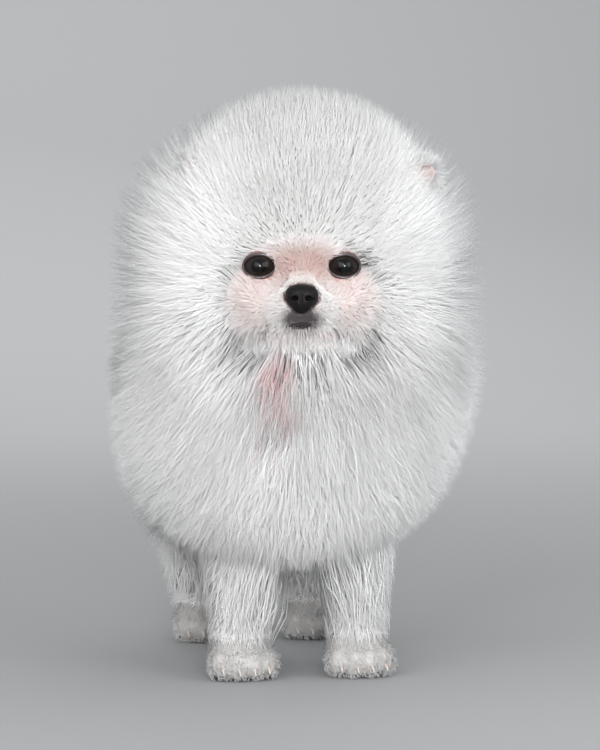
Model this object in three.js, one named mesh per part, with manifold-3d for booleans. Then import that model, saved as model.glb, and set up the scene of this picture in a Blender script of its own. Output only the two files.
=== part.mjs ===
import * as THREE from "three";
import { mergeVertices } from "three/addons/utils/BufferGeometryUtils.js";
import Module from "manifold-3d";

// A white pomeranian puppy standing on four legs, life size, in millimetres.
// It faces -Y, its left side is +X and +Z is up. The head turns a little to its right.

// Driving sizes
const height = 281; // floor to the tips of the coat on the crown
const puffWidth = 184; // across the ruff
const eyeSpacing = 39;
const eyeHeight = 195;
const eyeballRadius = 7.8;
const headTurn = THREE.MathUtils.degToRad(-10);
const frontFeetY = -44;
const hindFeetY = 76;
const footSpacing = 56;
const gap = 0.32; // left between touching pieces
const coreShare = 0.44; // how far the core of the coat reaches from the skin to the tips

const wasm = await Module();
wasm.setup();

const vec = (x, y, z) => new THREE.Vector3(x, y, z);
const upAxis = vec(0, 0, 1);
const neckPivot = vec(0, -50, 0);

// Head shapes are written facing straight ahead and are turned about the neck.
function turned(p) {
  return p.clone().sub(neckPivot).applyAxisAngle(upAxis, headTurn).add(neckPivot);
}

function unturned(p) {
  return p.clone().sub(neckPivot).applyAxisAngle(upAxis, -headTurn).add(neckPivot);
}

// Random numbers that come out the same on every run
let seed = 20251;
function random() {
  seed = (seed * 1664525 + 1013904223) % 4294967296;
  return seed / 4294967296;
}

const between = (low, high) => low + (high - low) * random();

// Forms are distances to a surface, negative inside.
function ellipsoid(x, y, z, rx, ry, rz) {
  return (p) => {
    const dx = (p.x - x) / rx;
    const dy = (p.y - y) / ry;
    const dz = (p.z - z) / rz;
    const k = Math.hypot(dx, dy, dz);
    const g = Math.hypot(dx / rx, dy / ry, dz / rz);
    return g < 1e-9 ? -Math.min(rx, ry, rz) : (k * (k - 1)) / g;
  };
}

function limb(from, to, fromRadius, toRadius) {
  const line = new THREE.Line3(from, to);
  const near = new THREE.Vector3();
  return (p) => {
    const t = line.closestPointToPointParameter(p, true);
    line.at(t, near);
    return near.distanceTo(p) - THREE.MathUtils.lerp(fromRadius, toRadius, t);
  };
}

// Forms that melt into one another over about the given width
function blended(width, forms) {
  return (p) => {
    let d = forms[0](p);
    for (const form of forms.slice(1)) {
      const e = form(p);
      const h = Math.max(width - Math.abs(d - e), 0) / width;
      d = Math.min(d, e) - (h * h * width) / 4;
    }
    return d;
  };
}

const hollowed = (form, bowl) => (p) => Math.max(form(p), -bowl(p));
const grown = (form, by) => (p) => form(p) - by;
const partWay = (skin, coat, share) => (p) => (1 - share) * skin(p) + share * coat(p);

// Sizes of the head
const eyeX = eyeSpacing / 2;
const eyeCentre = (side) => vec(side * eyeX, -90.2, eyeHeight);
const gaze = (side) => vec(side * 0.2, -1, 0.02).normalize();
const mouthHeight = 167.5;
const crown = 236; // centre height of the rounded top of the coat

const faceSkin = blended(7, [
  ellipsoid(0, -66, 205, 31, 32, 29),
  ellipsoid(0, -86, 190, 24, 14, 17),
  ellipsoid(17, -83, 178, 17, 15, 13),
  ellipsoid(-17, -83, 178, 17, 15, 13),
  ellipsoid(0, -103, 180, 14, 17, 11.5),
  ellipsoid(6, -108, 175.5, 9, 10, 7.5),
  ellipsoid(-6, -108, 175.5, 9, 10, 7.5),
  ellipsoid(0, -98, 168.5, 13, 17, 6.5),
]);
const headSkin = blended(7, [faceSkin, limb(vec(0, -62, 192), vec(0, -40, 150), 24, 28)]);
// The short-haired face lies in a bowl that the long coat leaves open.
const faceBowl = ellipsoid(0, -124, 188, 44, 40, 28);
const shortFur = 1;
const headCoat = blended(4, [
  grown(headSkin, shortFur),
  hollowed(
    blended(16, [
      ellipsoid(0, -64, crown, 55, 45, height - crown),
      ellipsoid(36, -62, 196, 34, 40, 44),
      ellipsoid(-36, -62, 196, 34, 40, 44),
    ]),
    faceBowl,
  ),
]);
// The space that the head and its coat keep to, cradled by the ruff
const headRoom = blended(3, [ellipsoid(0, -76, 222, 70, 60, 67), grown(faceSkin, 2 * shortFur)]);

// Sizes of the neck with its ruff, and of the trunk
const ruffRadius = puffWidth / 2;
const neckSkin = blended(14, [
  limb(vec(0, -60, 190), vec(0, -28, 138), 27, 34),
  ellipsoid(0, -26, 118, 38, 42, 42),
]);
const neckCoat = blended(22, [
  ellipsoid(0, -50, 154, ruffRadius, 58, 100),
  ellipsoid(0, -26, 208, 82, 46, 60),
  ellipsoid(0, -60, 104, 64, 46, 50),
]);
const trunkSkin = blended(14, [
  ellipsoid(0, -14, 120, 38, 46, 40),
  ellipsoid(0, 28, 118, 35, 55, 35),
  ellipsoid(0, 64, 122, 35, 36, 36),
]);
const thigh = (side) => ellipsoid(side * 38, 70, 88, 36, 46, 44);
const trunkCoat = blended(24, [
  ellipsoid(0, 6, 140, 84, 66, 74),
  ellipsoid(0, 26, 130, 79, 82, 70),
  ellipsoid(0, 76, 116, 74, 46, 62),
  thigh(1),
  thigh(-1),
]);

// Sizes of the legs and feet
const footX = footSpacing / 2;
const frontTop = 76;
const hindTop = 70;
const footTop = 15;
const shankClear = 3; // the ruff stays this far from the foreleg below its top
const thighClear = 8; // and the trunk this far from the hind leg
const foreSkin = (side) =>
  blended(8, [
    limb(vec(side * footX, -32, 96), vec(side * footX, -34, 62), 15, 10),
    limb(vec(side * footX, -34, 62), vec(side * footX, frontFeetY + 3, 10), 10, 9),
  ]);
const foreCoat = (side) =>
  limb(vec(side * (footX + 1), -38, 84), vec(side * footX, frontFeetY + 2, 10), 24, 15.5);
const hindSkin = (side) =>
  blended(8, [
    ellipsoid(side * 26, 68, 88, 17, 27, 32),
    limb(vec(side * 29, 62, 66), vec(side * 29, 88, 36), 12, 8.5),
    limb(vec(side * 29, 88, 36), vec(side * 29, hindFeetY + 6, 12), 8.5, 8.5),
  ]);
const hindCoat = (side) =>
  blended(12, [
    thigh(side),
    limb(vec(side * 32, 80, 60), vec(side * 30, 88, 38), 30, 22),
    limb(vec(side * 30, 88, 38), vec(side * footX, hindFeetY + 5, 10), 22, 15.5),
  ]);

// The tail curls up from the rump and lies forward along the back.
const tailCurve = new THREE.CatmullRomCurve3([
  vec(0, 92, 148),
  vec(0, 104, 164),
  vec(0, 104, 186),
  vec(0, 84, 198),
  vec(0, 58, 200),
  vec(0, 30, 198),
]);
const tailBone = (p) => {
  let best = Infinity;
  for (let i = 0; i <= 20; i++) {
    best = Math.min(best, tailCurve.getPoint(i / 20).distanceTo(p) - (8 - 0.2 * i));
  }
  return best;
};
const tailCoat = blended(14, [
  ellipsoid(0, 68, 190, 48, 54, 34),
  ellipsoid(0, 92, 168, 32, 30, 34),
]);
// The back under the plume
const backForm = ellipsoid(0, 30, 124, 94, 100, 76);
const backHeart = vec(0, 34, 118);

// Regions that part the nodes: planes and simple closed solids
function solidOf(geometry) {
  const bare = geometry.index ? geometry.toNonIndexed() : geometry.clone();
  const only = new THREE.BufferGeometry();
  only.setAttribute("position", bare.getAttribute("position"));
  const merged = mergeVertices(only, 1e-4);
  const mesh = new wasm.Mesh({
    numProp: 3,
    vertProperties: merged.attributes.position.array,
    triVerts: new Uint32Array(merged.index.array),
  });
  return new wasm.Manifold(mesh);
}

// A geometry whose points are moved along rays from a centre onto a form
function moulded(geometry, centre, form, stretch = vec(1, 1, 1), reach = 170) {
  const bare = geometry.index ? geometry.toNonIndexed() : geometry.clone();
  const only = new THREE.BufferGeometry();
  only.setAttribute("position", bare.getAttribute("position"));
  const merged = mergeVertices(only, 1e-4);
  const place = merged.getAttribute("position");
  const direction = new THREE.Vector3();
  for (let i = 0; i < place.count; i++) {
    direction.fromBufferAttribute(place, i).multiply(stretch).normalize();
    const p = surfaceAlong(centre, direction, form, reach);
    place.setXYZ(i, p.x, p.y, p.z);
  }
  return merged;
}

function surfaceAlong(start, direction, form, reach = 170, step = 1.5) {
  const p = new THREE.Vector3();
  let low = 0;
  let high = step;
  while (high < reach && form(p.copy(start).addScaledVector(direction, high)) < 0) {
    low = high;
    high += step;
  }
  for (let i = 0; i < 14; i++) {
    const middle = (low + high) / 2;
    if (form(p.copy(start).addScaledVector(direction, middle)) < 0) low = middle;
    else high = middle;
  }
  return start.clone().addScaledVector(direction, low);
}

// A large block on the far side of a plane, to keep what lies on its side
function sideOf(point, normal, size = 600) {
  const block = new THREE.BoxGeometry(size, size, size);
  block.translate(0, 0, size / 2);
  const turn = new THREE.Quaternion().setFromUnitVectors(upAxis, normal.clone().normalize());
  block.applyQuaternion(turn);
  block.translate(point.x, point.y, point.z);
  return solidOf(block);
}

const trunkPlane = { point: vec(0, -10, 120), normal: vec(0, -0.95, 0.3).normalize() };
const behindPlane = { point: trunkPlane.point, normal: trunkPlane.normal.clone().negate() };
const aheadOf = (p) => trunkPlane.normal.dot(p.clone().sub(trunkPlane.point));

// Keeps the part of a solid on the side that the plane's normal points to, or on the other
function onSide(solid, plane, sign = 1) {
  const normal = plane.normal.clone().normalize().multiplyScalar(sign);
  const point = plane.point.clone().addScaledVector(normal, gap / 2);
  return solid.intersect(sideOf(point, normal));
}

const above = (z) => ({ point: vec(0, 0, z), normal: vec(0, 0, 1) });

function ballSolid(form, centre, detail, stretch, by = 0) {
  const ball = new THREE.IcosahedronGeometry(1, detail);
  return solidOf(moulded(ball, centre, grown(form, by), stretch));
}

const coreOf = (skin, coat) => partWay(skin, coat, coreShare);

// The long coat is made of flat tapered locks. Each stands up from the core at its root
// and bends over towards the lie of the coat. Its section is a low triangle.
const leaf = [
  [0, 0.8],
  [0.38, 1],
  [0.7, 0.84],
  [0.92, 0.42],
]; // place along the lock and share of its full width
const rootSunk = 7;

function lock(root, outward, lie, tip, width) {
  const bend = root.clone().addScaledVector(outward, 0.5 * root.distanceTo(tip));
  const path = new THREE.QuadraticBezierCurve3(root, bend, tip);
  const across = lie.clone().cross(outward).normalize();
  const rings = [];
  for (const [t, share] of leaf) {
    const at = path.getPoint(t);
    const over = across.clone().cross(path.getTangent(t)).normalize();
    const half = (width * share) / 2;
    const rise = width * 0.13 * share;
    rings.push([
      at.clone().addScaledVector(across, -half).addScaledVector(over, -rise / 2),
      at.clone().addScaledVector(across, half).addScaledVector(over, -rise / 2),
      at.clone().addScaledVector(over, rise),
    ]);
  }
  return solidOf(lofted(rings, tip));
}

function slope(form, p) {
  const step = 0.5;
  const by = (x, y, z) => form(p.clone().add(vec(x, y, z))) - form(p.clone().sub(vec(x, y, z)));
  return vec(by(step, 0, 0), by(0, step, 0), by(0, 0, step)).normalize();
}

// Locks spread evenly over a core. The coat is a set of choices:
// skin, coat and heart are its forms and the place that rays to it start from,
// spacing is the distance between roots and width that of a lock,
// lieAt gives the lie at a place and grows says whether coat grows there,
// rise is how far a lock stands up, and keep holds planes that its tip stays behind.
function locksOf(coat) {
  const core = coreOf(coat.skin, coat.coat);
  const roots = [];
  const made = [];
  for (let i = 0; i < 2600; i++) {
    const z = between(-1, 1);
    const turn = between(0, 2 * Math.PI);
    const flat = Math.sqrt(1 - z * z);
    const ray = vec(flat * Math.cos(turn), flat * Math.sin(turn), z);
    const place = surfaceAlong(coat.heart, ray, core, 170, 4);
    if (coat.skin(place) - coat.coat(place) < coat.leastDepth || !coat.grows(place)) continue;
    if (roots.some((other) => other.distanceTo(place) < coat.spacing)) continue;
    roots.push(place);
    const outward = slope(core, place);
    const lie = coat.lieAt(place);
    lie.addScaledVector(outward, -lie.dot(outward)).normalize();
    const swing = between(-0.35, 0.35);
    lie.applyAxisAngle(outward, swing);
    const aim = outward.clone().multiplyScalar(coat.rise).addScaledVector(lie, 1).normalize();
    const tip = surfaceAlong(place, aim, coat.coat, 90);
    tip.sub(place).multiplyScalar(between(0.9, 1.04)).add(place);
    for (const { point, normal } of coat.keep) {
      const room = tip.clone().sub(point).dot(normal) - 1;
      if (room < 0) tip.addScaledVector(normal, -room);
    }
    const root = place.clone().addScaledVector(outward, -rootSunk);
    made.push(lock(root, outward, lie, tip, coat.width * between(0.85, 1.15)));
  }
  return made;
}

const joined = (core, locks) => wasm.Manifold.union([core, ...locks]);

// Legs with their coat, and the room they need in the trunk and the ruff
const foreAxis = (side) => vec(side * footX, -39, 44);
const hindAxis = (side) => vec(side * 32, 76, 60);
const foreRoom = (side, by) =>
  ballSolid(foreCoat(side), foreAxis(side), 3, vec(1, 1, 2.6), by);
const hindRoom = (side, by) =>
  ballSolid(hindCoat(side), hindAxis(side), 3, vec(1, 1, 1.6), by);

const legCoat = { spacing: 26, width: 26, leastDepth: 4.5, rise: 0.4, keep: [] };

function foreLeg(side) {
  const heart = foreAxis(side);
  const skin = foreSkin(side);
  const coat = foreCoat(side);
  const core = ballSolid(coreOf(skin, coat), heart, 3, vec(1, 1, 2.6));
  const lieAt = () => vec(0, 0.35, -1);
  const grows = (p) => p.z > 28 && p.z < frontTop - 4;
  const locks = locksOf({ ...legCoat, skin, coat, heart, lieAt, grows });
  const whole = joined(core, locks);
  return onSide(onSide(whole, above(frontTop), -1), above(footTop));
}

function hindLeg(side) {
  const heart = hindAxis(side);
  const skin = hindSkin(side);
  const coat = hindCoat(side);
  const core = ballSolid(coreOf(skin, coat), heart, 3, vec(1, 1, 1.6));
  const lieAt = () => vec(0, 0.4, -1);
  const grows = (p) => p.z > 32 && p.z < hindTop - 2;
  const locks = locksOf({ ...legCoat, skin, coat, heart, lieAt, grows });
  const apart = { point: vec(0, 0, 0), normal: vec(side, 0, 0) };
  const whole = joined(core, locks);
  return onSide(onSide(onSide(whole, above(hindTop), -1), above(footTop)), apart);
}

// A foot: a rounded body, four toes in an arc and the main pad, all flat at the floor
function foot(side, centreY) {
  const x = side * footX;
  const ball = (cx, cy, cz, rx, ry, rz, around, along) => {
    const shape = new THREE.SphereGeometry(1, around, along);
    shape.scale(rx, ry, rz);
    shape.translate(cx, cy, cz);
    return solidOf(shape);
  };
  const pieces = [ball(x, centreY + 2, 11, 15, 12.5, 12, 8, 6)];
  for (const across of [-1.5, -0.5, 0.5, 1.5]) {
    const forward = 10.6 - 1.7 * across * across;
    pieces.push(ball(x + across * 7.2, centreY - forward, 6.6, 5, 7.8, 7.2, 6, 5));
  }
  pieces.push(ball(x, centreY + 1, 3, 9, 7.5, 4, 6, 4));
  const whole = wasm.Manifold.union(pieces);
  return onSide(whole, { point: vec(0, 0, -gap / 2), normal: vec(0, 0, 1) });
}

// Head: skull, muzzle, lids, the line of the mouth and room for the eyes, nose and ears
function eyeball(side, by = 0) {
  const ball = new THREE.SphereGeometry(eyeballRadius + by, 12, 9);
  const c = eyeCentre(side);
  ball.translate(c.x, c.y, c.z);
  return solidOf(ball);
}

// The opening between the lids, an almond cut along the gaze
function lidOpening(side) {
  const halfWidth = 6.7;
  const halfHeight = 4.9;
  const almond = new THREE.Shape();
  const outer = side * halfWidth;
  const high = halfHeight * 1.35;
  almond.moveTo(-outer, -0.4);
  almond.bezierCurveTo(-outer * 0.7, high, outer * 0.6, high, outer, 0.6);
  almond.bezierCurveTo(outer * 0.7, -high, -outer * 0.5, -high, -outer, -0.4);
  const depth = 18;
  const prism = new THREE.ExtrudeGeometry(almond, { depth, bevelEnabled: false, curveSegments: 5 });
  prism.rotateX(Math.PI / 2);
  const turn = new THREE.Quaternion().setFromUnitVectors(vec(0, -1, 0), gaze(side));
  prism.applyQuaternion(turn);
  const c = eyeCentre(side);
  prism.translate(c.x, c.y, c.z);
  return solidOf(prism);
}

// A round bar along a path, for lips and for the grooves that cut the mouth
function bar(points, radius, sides = 4, steps = 10) {
  const outline = new THREE.Shape();
  outline.absarc(0, 0, radius, 0, Math.PI * 2);
  const path = new THREE.CatmullRomCurve3(points);
  const made = new THREE.ExtrudeGeometry(outline, {
    steps,
    extrudePath: path,
    bevelEnabled: false,
    curveSegments: sides / 2,
  });
  return solidOf(made);
}

const faceHeart = vec(0, -84, 184); // rays to the face start here
const headInside = coreOf(headSkin, headCoat);
const headForm = (p) => Math.max(headInside(p), headRoom(p));

// Points of the mouth line, laid on the skin by rays
function mouthLine() {
  const half = 30;
  const points = [];
  for (let i = -6; i <= 6; i++) {
    const t = i / 6;
    const x = half * t * (1.15 - 0.15 * t * t);
    const z = mouthHeight + 3.2 * Math.abs(t) * (1 - Math.abs(t)) * -1 + 1.6 * t * t;
    const y = -118 + 34 * t * t;
    const aim = vec(x, y, z);
    points.push(surfaceAlong(faceHeart, aim.sub(faceHeart).normalize(), headForm));
  }
  return points;
}

function noseSolid(by = 0) {
  const form = grown(
    blended(3, [
      ellipsoid(0, -117, 183.6, 7.4, 5, 4.6),
      ellipsoid(0, -117.4, 179.4, 4.6, 4.4, 4.6),
      ellipsoid(4, -115.5, 182.4, 3.8, 4.6, 3.8),
      ellipsoid(-4, -115.5, 182.4, 3.8, 4.6, 3.8),
    ]),
    by,
  );
  const ball = new THREE.SphereGeometry(1, 14, 10);
  return solidOf(moulded(ball, vec(0, -117, 182.4), form, vec(1, 1, 1), 30));
}

function nose() {
  let made = noseSolid();
  for (const side of [1, -1]) {
    const nostril = new THREE.SphereGeometry(1, 8, 6);
    nostril.scale(1.7, 3.4, 1.3);
    nostril.rotateY(side * 0.5);
    nostril.translate(side * 3.7, -121.8, 181.4);
    const slit = new THREE.SphereGeometry(1, 6, 4);
    slit.scale(2, 2.6, 0.6);
    slit.rotateY(side * -0.5);
    slit.translate(side * 5.6, -120.4, 180.6);
    made = made.subtract(solidOf(nostril)).subtract(solidOf(slit));
  }
  const cleft = bar([vec(0, -122.9, 183), vec(0, -122.8, 180), vec(0, -121, 176)], 0.6, 4, 3);
  return made.subtract(cleft);
}

// An ear: a pointed cup, thick as the real one, opening forward and out
const earBase = (side) => vec(side * 28, -62, 222);
const earTip = (side) => vec(side * (side > 0 ? 66 : 60), -72, side > 0 ? 242 : 248);

const earRoot = -0.22; // where the root ends, as a share of the ear's length below its base

function earFrame(side) {
  const base = earBase(side);
  const axis = earTip(side).sub(base);
  const reach = axis.length();
  axis.normalize();
  const front = vec(side * 0.55, -0.82, -0.1);
  const across = new THREE.Vector3().crossVectors(front, axis).normalize();
  const outward = new THREE.Vector3().crossVectors(axis, across).normalize();
  return { base, axis, reach, across, outward };
}

function ear(side) {
  const { base, axis, reach, across, outward } = earFrame(side);
  const rings = [];
  const sides = 14;
  for (const t of [earRoot, 0, 0.2, 0.42, 0.62, 0.8, 0.93]) {
    const half = 12.5 * Math.sqrt(Math.max(0.02, 1 - t * t * 1.02)) * (t < 0 ? 0.85 : 1);
    const cup = 5.2 * (1 - t * 0.55);
    const wall = 1 * (1 - 0.35 * t);
    const ring = [];
    for (let i = 0; i < sides; i++) {
      const inner = i >= sides / 2;
      const k = inner ? sides - 1 - i : i;
      const s = (k / (sides / 2 - 1)) * 2 - 1;
      const bow = cup * (s * s - 1) + (inner ? wall : -wall) * (1 - 0.5 * s * s);
      ring.push(
        base
          .clone()
          .addScaledVector(axis, t * reach)
          .addScaledVector(across, half * s)
          .addScaledVector(outward, bow),
      );
    }
    rings.push(ring);
  }
  return solidOf(lofted(rings, earTip(side)));
}

// The space that an ear stands in, with a floor for its root
function earRoom(side) {
  const { base, axis, reach, across, outward } = earFrame(side);
  const room = new THREE.SphereGeometry(1, 12, 8);
  room.scale(0.9 * reach, 16.5, 9);
  room.applyMatrix4(new THREE.Matrix4().makeBasis(axis, across, outward));
  const heart = base.clone().addScaledVector(axis, 0.3 * reach).addScaledVector(outward, -2.5);
  room.translate(heart.x, heart.y, heart.z);
  const floor = base.clone().addScaledVector(axis, earRoot * reach - gap);
  return solidOf(room).intersect(sideOf(floor, axis));
}

// A closed shell through rings of points, closed by a tip at the far end
function lofted(rings, tip) {
  const points = [];
  const count = rings[0].length;
  const tri = (a, b, c) => points.push(a, b, c);
  for (let i = 1; i < count - 1; i++) tri(rings[0][0], rings[0][i + 1], rings[0][i]);
  for (let r = 0; r + 1 < rings.length; r++) {
    for (let i = 0; i < count; i++) {
      const j = (i + 1) % count;
      tri(rings[r][i], rings[r][j], rings[r + 1][j]);
      tri(rings[r][i], rings[r + 1][j], rings[r + 1][i]);
    }
  }
  const last = rings[rings.length - 1];
  for (let i = 0; i < count; i++) tri(last[i], last[(i + 1) % count], tip);
  const made = new THREE.BufferGeometry().setFromPoints(points);
  const solid = solidOf(made);
  if (solid.volume() > 0) return made;
  const back = [];
  for (let i = 0; i < points.length; i += 3) back.push(points[i], points[i + 2], points[i + 1]);
  return new THREE.BufferGeometry().setFromPoints(back);
}

// Rings close together round the muzzle and wider apart behind. All solids of the head
// share this division, so that one form inside another stays inside it.
function headMould(form) {
  const ball = new THREE.SphereGeometry(1, 26, 22);
  ball.rotateX(Math.PI);
  const place = ball.getAttribute("position");
  const made = new THREE.Vector3();
  for (let i = 0; i < place.count; i++) {
    made.fromBufferAttribute(place, i);
    const polar = Math.acos(THREE.MathUtils.clamp(-made.y, -1, 1));
    const eased = Math.PI * Math.pow(polar / Math.PI, 1.35);
    const round = Math.atan2(made.z, made.x);
    const wide = polar < 1e-4 || polar > Math.PI - 1e-4 ? 0 : Math.sin(eased);
    place.setXYZ(i, Math.cos(round) * wide, -Math.cos(eased), Math.sin(round) * wide);
  }
  return solidOf(moulded(ball, faceHeart, form));
}

function head() {
  const locks = locksOf({
    skin: headSkin,
    coat: headCoat,
    heart: vec(0, -66, 205),
    spacing: 26,
    width: 40,
    leastDepth: 11,
    rise: 0.9,
    keep: [],
    lieAt: (p) => p.clone().sub(faceHeart).add(vec(0, 6, 10)),
    grows: (p) => headRoom(p) < -4 && faceBowl(p) > 1,
  });
  let made = joined(headMould(headForm), locks);
  for (const side of [1, -1]) {
    const lids = new THREE.SphereGeometry(eyeballRadius + 1.4, 12, 8);
    const c = eyeCentre(side);
    lids.translate(c.x, c.y, c.z);
    made = made.add(solidOf(lids)).subtract(lidOpening(side)).subtract(eyeball(side, gap));
    made = made.subtract(earRoom(side));
  }
  const line = mouthLine();
  const middle = line[6];
  const lower = line.map((p) => p.clone().add(vec(0, -0.9, -0.6)));
  made = made.add(bar(line, 1.6)).subtract(bar(lower, 0.9));
  const philtrum = [middle.clone(), vec(0, middle.y - 1.2, 172), vec(0, -121, 176.5)];
  made = made.subtract(bar(philtrum, 0.7, 4, 3));
  made = made.subtract(noseSolid(gap));
  return made.intersect(headMould(headRoom));
}

function largest(solid) {
  const bodies = solid.decompose();
  return bodies.reduce((a, b) => (b.volume() > a.volume() ? b : a));
}

function toGeometry(solid) {
  const mesh = solid.getMesh();
  const points = new Float32Array(mesh.numVert * 3);
  for (let i = 0; i < mesh.numVert; i++) {
    points.set(mesh.vertProperties.subarray(i * mesh.numProp, i * mesh.numProp + 3), i * 3);
  }
  const made = new THREE.BufferGeometry();
  made.setAttribute("position", new THREE.BufferAttribute(points, 3));
  made.setIndex(new THREE.BufferAttribute(mesh.triVerts, 1));
  return made;
}

const finish = {
  coat: new THREE.MeshStandardMaterial({ color: 0xe4e5e6, roughness: 0.95, metalness: 0 }),
  ear: new THREE.MeshStandardMaterial({ color: 0xcdb9b6, roughness: 0.9, metalness: 0 }),
  eye: new THREE.MeshStandardMaterial({ color: 0x0d0b0c, roughness: 0.08, metalness: 0 }),
  nose: new THREE.MeshStandardMaterial({ color: 0x1f191c, roughness: 0.45, metalness: 0 }),
};

function turnedSolid(solid) {
  const degrees = THREE.MathUtils.radToDeg(headTurn);
  return solid
    .translate([-neckPivot.x, -neckPivot.y, 0])
    .rotate([0, 0, degrees])
    .translate([neckPivot.x, neckPivot.y, 0]);
}

const solids = new Map();
solids.set("head", [turnedSolid(head()), "coat"]);
solids.set("nose", [turnedSolid(nose()), "nose"]);
let headSpace = headMould(grown(headRoom, gap));
for (const side of [1, -1]) {
  const word = side > 0 ? "left" : "right";
  solids.set("ear_" + word, [turnedSolid(ear(side)), "ear"]);
  solids.set("eye_" + word, [turnedSolid(eyeball(side)), "eye"]);
  headSpace = headSpace.add(earRoom(side));
}

const neckHeart = vec(0, -42, 150);
const neckCore = ballSolid(coreOf(neckSkin, neckCoat), neckHeart, 5, vec(1, 0.8, 1.1));
const neckLocks = locksOf({
  skin: neckSkin,
  coat: neckCoat,
  heart: neckHeart,
  spacing: 29,
  width: 48,
  leastDepth: 12,
  rise: 0.7,
  keep: [trunkPlane],
  lieAt: (p) => p.clone().sub(turned(faceHeart)).normalize().add(vec(0, 0, -0.45)),
  grows: (p) => headRoom(unturned(p)) > 2 && aheadOf(p) > 2,
});
let neck = onSide(joined(neckCore, neckLocks), trunkPlane).subtract(turnedSolid(headSpace));
const trunkHeart = vec(0, 36, 124);
const trunkCore = ballSolid(coreOf(trunkSkin, trunkCoat), trunkHeart, 5, vec(1, 1.1, 0.9));
const trunkLocks = locksOf({
  skin: trunkSkin,
  coat: trunkCoat,
  heart: trunkHeart,
  spacing: 30,
  width: 50,
  leastDepth: 12,
  rise: 0.6,
  keep: [behindPlane],
  lieAt: (p) => vec(p.x * 0.004, 1, -0.6),
  grows: (p) => aheadOf(p) < -2 && backForm(p) < -3,
});
let trunk = onSide(joined(trunkCore, trunkLocks), trunkPlane, -1);
for (const side of [1, -1]) {
  const word = side > 0 ? "left" : "right";
  const foreSpace = onSide(foreRoom(side, shankClear), above(frontTop + gap), -1);
  const hindSpace = onSide(hindRoom(side, thighClear), above(hindTop + gap), -1);
  neck = neck.subtract(foreSpace);
  trunk = trunk.subtract(foreSpace).subtract(hindSpace);
  solids.set("foreleg_" + word, [foreLeg(side), "coat"]);
  solids.set("hindleg_" + word, [hindLeg(side), "coat"]);
  solids.set("forefoot_" + word, [onSide(foot(side, frontFeetY), above(footTop), -1), "coat"]);
  solids.set("hindfoot_" + word, [onSide(foot(side, hindFeetY), above(footTop), -1), "coat"]);
}
trunk = trunk.intersect(ballSolid(backForm, backHeart, 5, vec(1, 1, 0.9)));
const tailHeart = vec(0, 84, 190);
const tailCore = ballSolid(coreOf(tailBone, tailCoat), tailHeart, 4, vec(1, 1.2, 0.7));
const tailLocks = locksOf({
  skin: tailBone,
  coat: tailCoat,
  heart: tailHeart,
  spacing: 23,
  width: 36,
  leastDepth: 10,
  rise: 0.5,
  keep: [behindPlane],
  lieAt: (p) => vec(p.x * 0.05, -0.5, -0.1),
  grows: (p) => backForm(p) > 0,
});
const backSpace = ballSolid(backForm, backHeart, 5, vec(1, 1, 0.9), gap);
const tail = onSide(joined(tailCore, tailLocks).subtract(backSpace), trunkPlane, -1);
solids.set("neck", [neck, "coat"]);
solids.set("torso", [trunk, "coat"]);
solids.set("tail", [tail, "coat"]);

const dog = new THREE.Group();
for (const [name, [solid, slot]] of solids) {
  const mesh = new THREE.Mesh(toGeometry(largest(solid)), finish[slot]);
  mesh.name = name;
  dog.add(mesh);
}

// The origin is on the floor under the middle of the box round the animal.
const box = new THREE.Box3().setFromObject(dog);
const middle = box.getCenter(new THREE.Vector3());
dog.position.set(-middle.x, -middle.y, -box.min.z);

export default dog;
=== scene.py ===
import math
import bpy
import numpy as np
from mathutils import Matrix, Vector
from mathutils.bvhtree import BVHTree
from mathutils.kdtree import KDTree


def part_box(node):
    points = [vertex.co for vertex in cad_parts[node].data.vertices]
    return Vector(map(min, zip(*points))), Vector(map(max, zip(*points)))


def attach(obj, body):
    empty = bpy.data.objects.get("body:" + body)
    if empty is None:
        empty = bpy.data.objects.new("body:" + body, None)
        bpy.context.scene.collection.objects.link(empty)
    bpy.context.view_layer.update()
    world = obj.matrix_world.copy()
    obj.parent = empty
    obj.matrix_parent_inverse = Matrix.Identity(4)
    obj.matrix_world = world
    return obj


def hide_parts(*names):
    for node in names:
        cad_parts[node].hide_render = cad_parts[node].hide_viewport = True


# A white pomeranian puppy on four legs: pink skin, long stand-off coat, dark eyes and nose.
# Metres, +Z up, it faces -Y and its left side is +X.

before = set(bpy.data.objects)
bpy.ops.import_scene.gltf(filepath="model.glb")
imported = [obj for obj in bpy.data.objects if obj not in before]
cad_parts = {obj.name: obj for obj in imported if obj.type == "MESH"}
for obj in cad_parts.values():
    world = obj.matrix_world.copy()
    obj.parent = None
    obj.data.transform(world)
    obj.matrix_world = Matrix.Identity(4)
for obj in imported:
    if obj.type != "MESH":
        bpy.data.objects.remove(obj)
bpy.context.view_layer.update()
bpy.ops.object.select_all(action="DESELECT")
scene = bpy.context.scene
rng = np.random.default_rng(417)
print("frame loaded")

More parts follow.
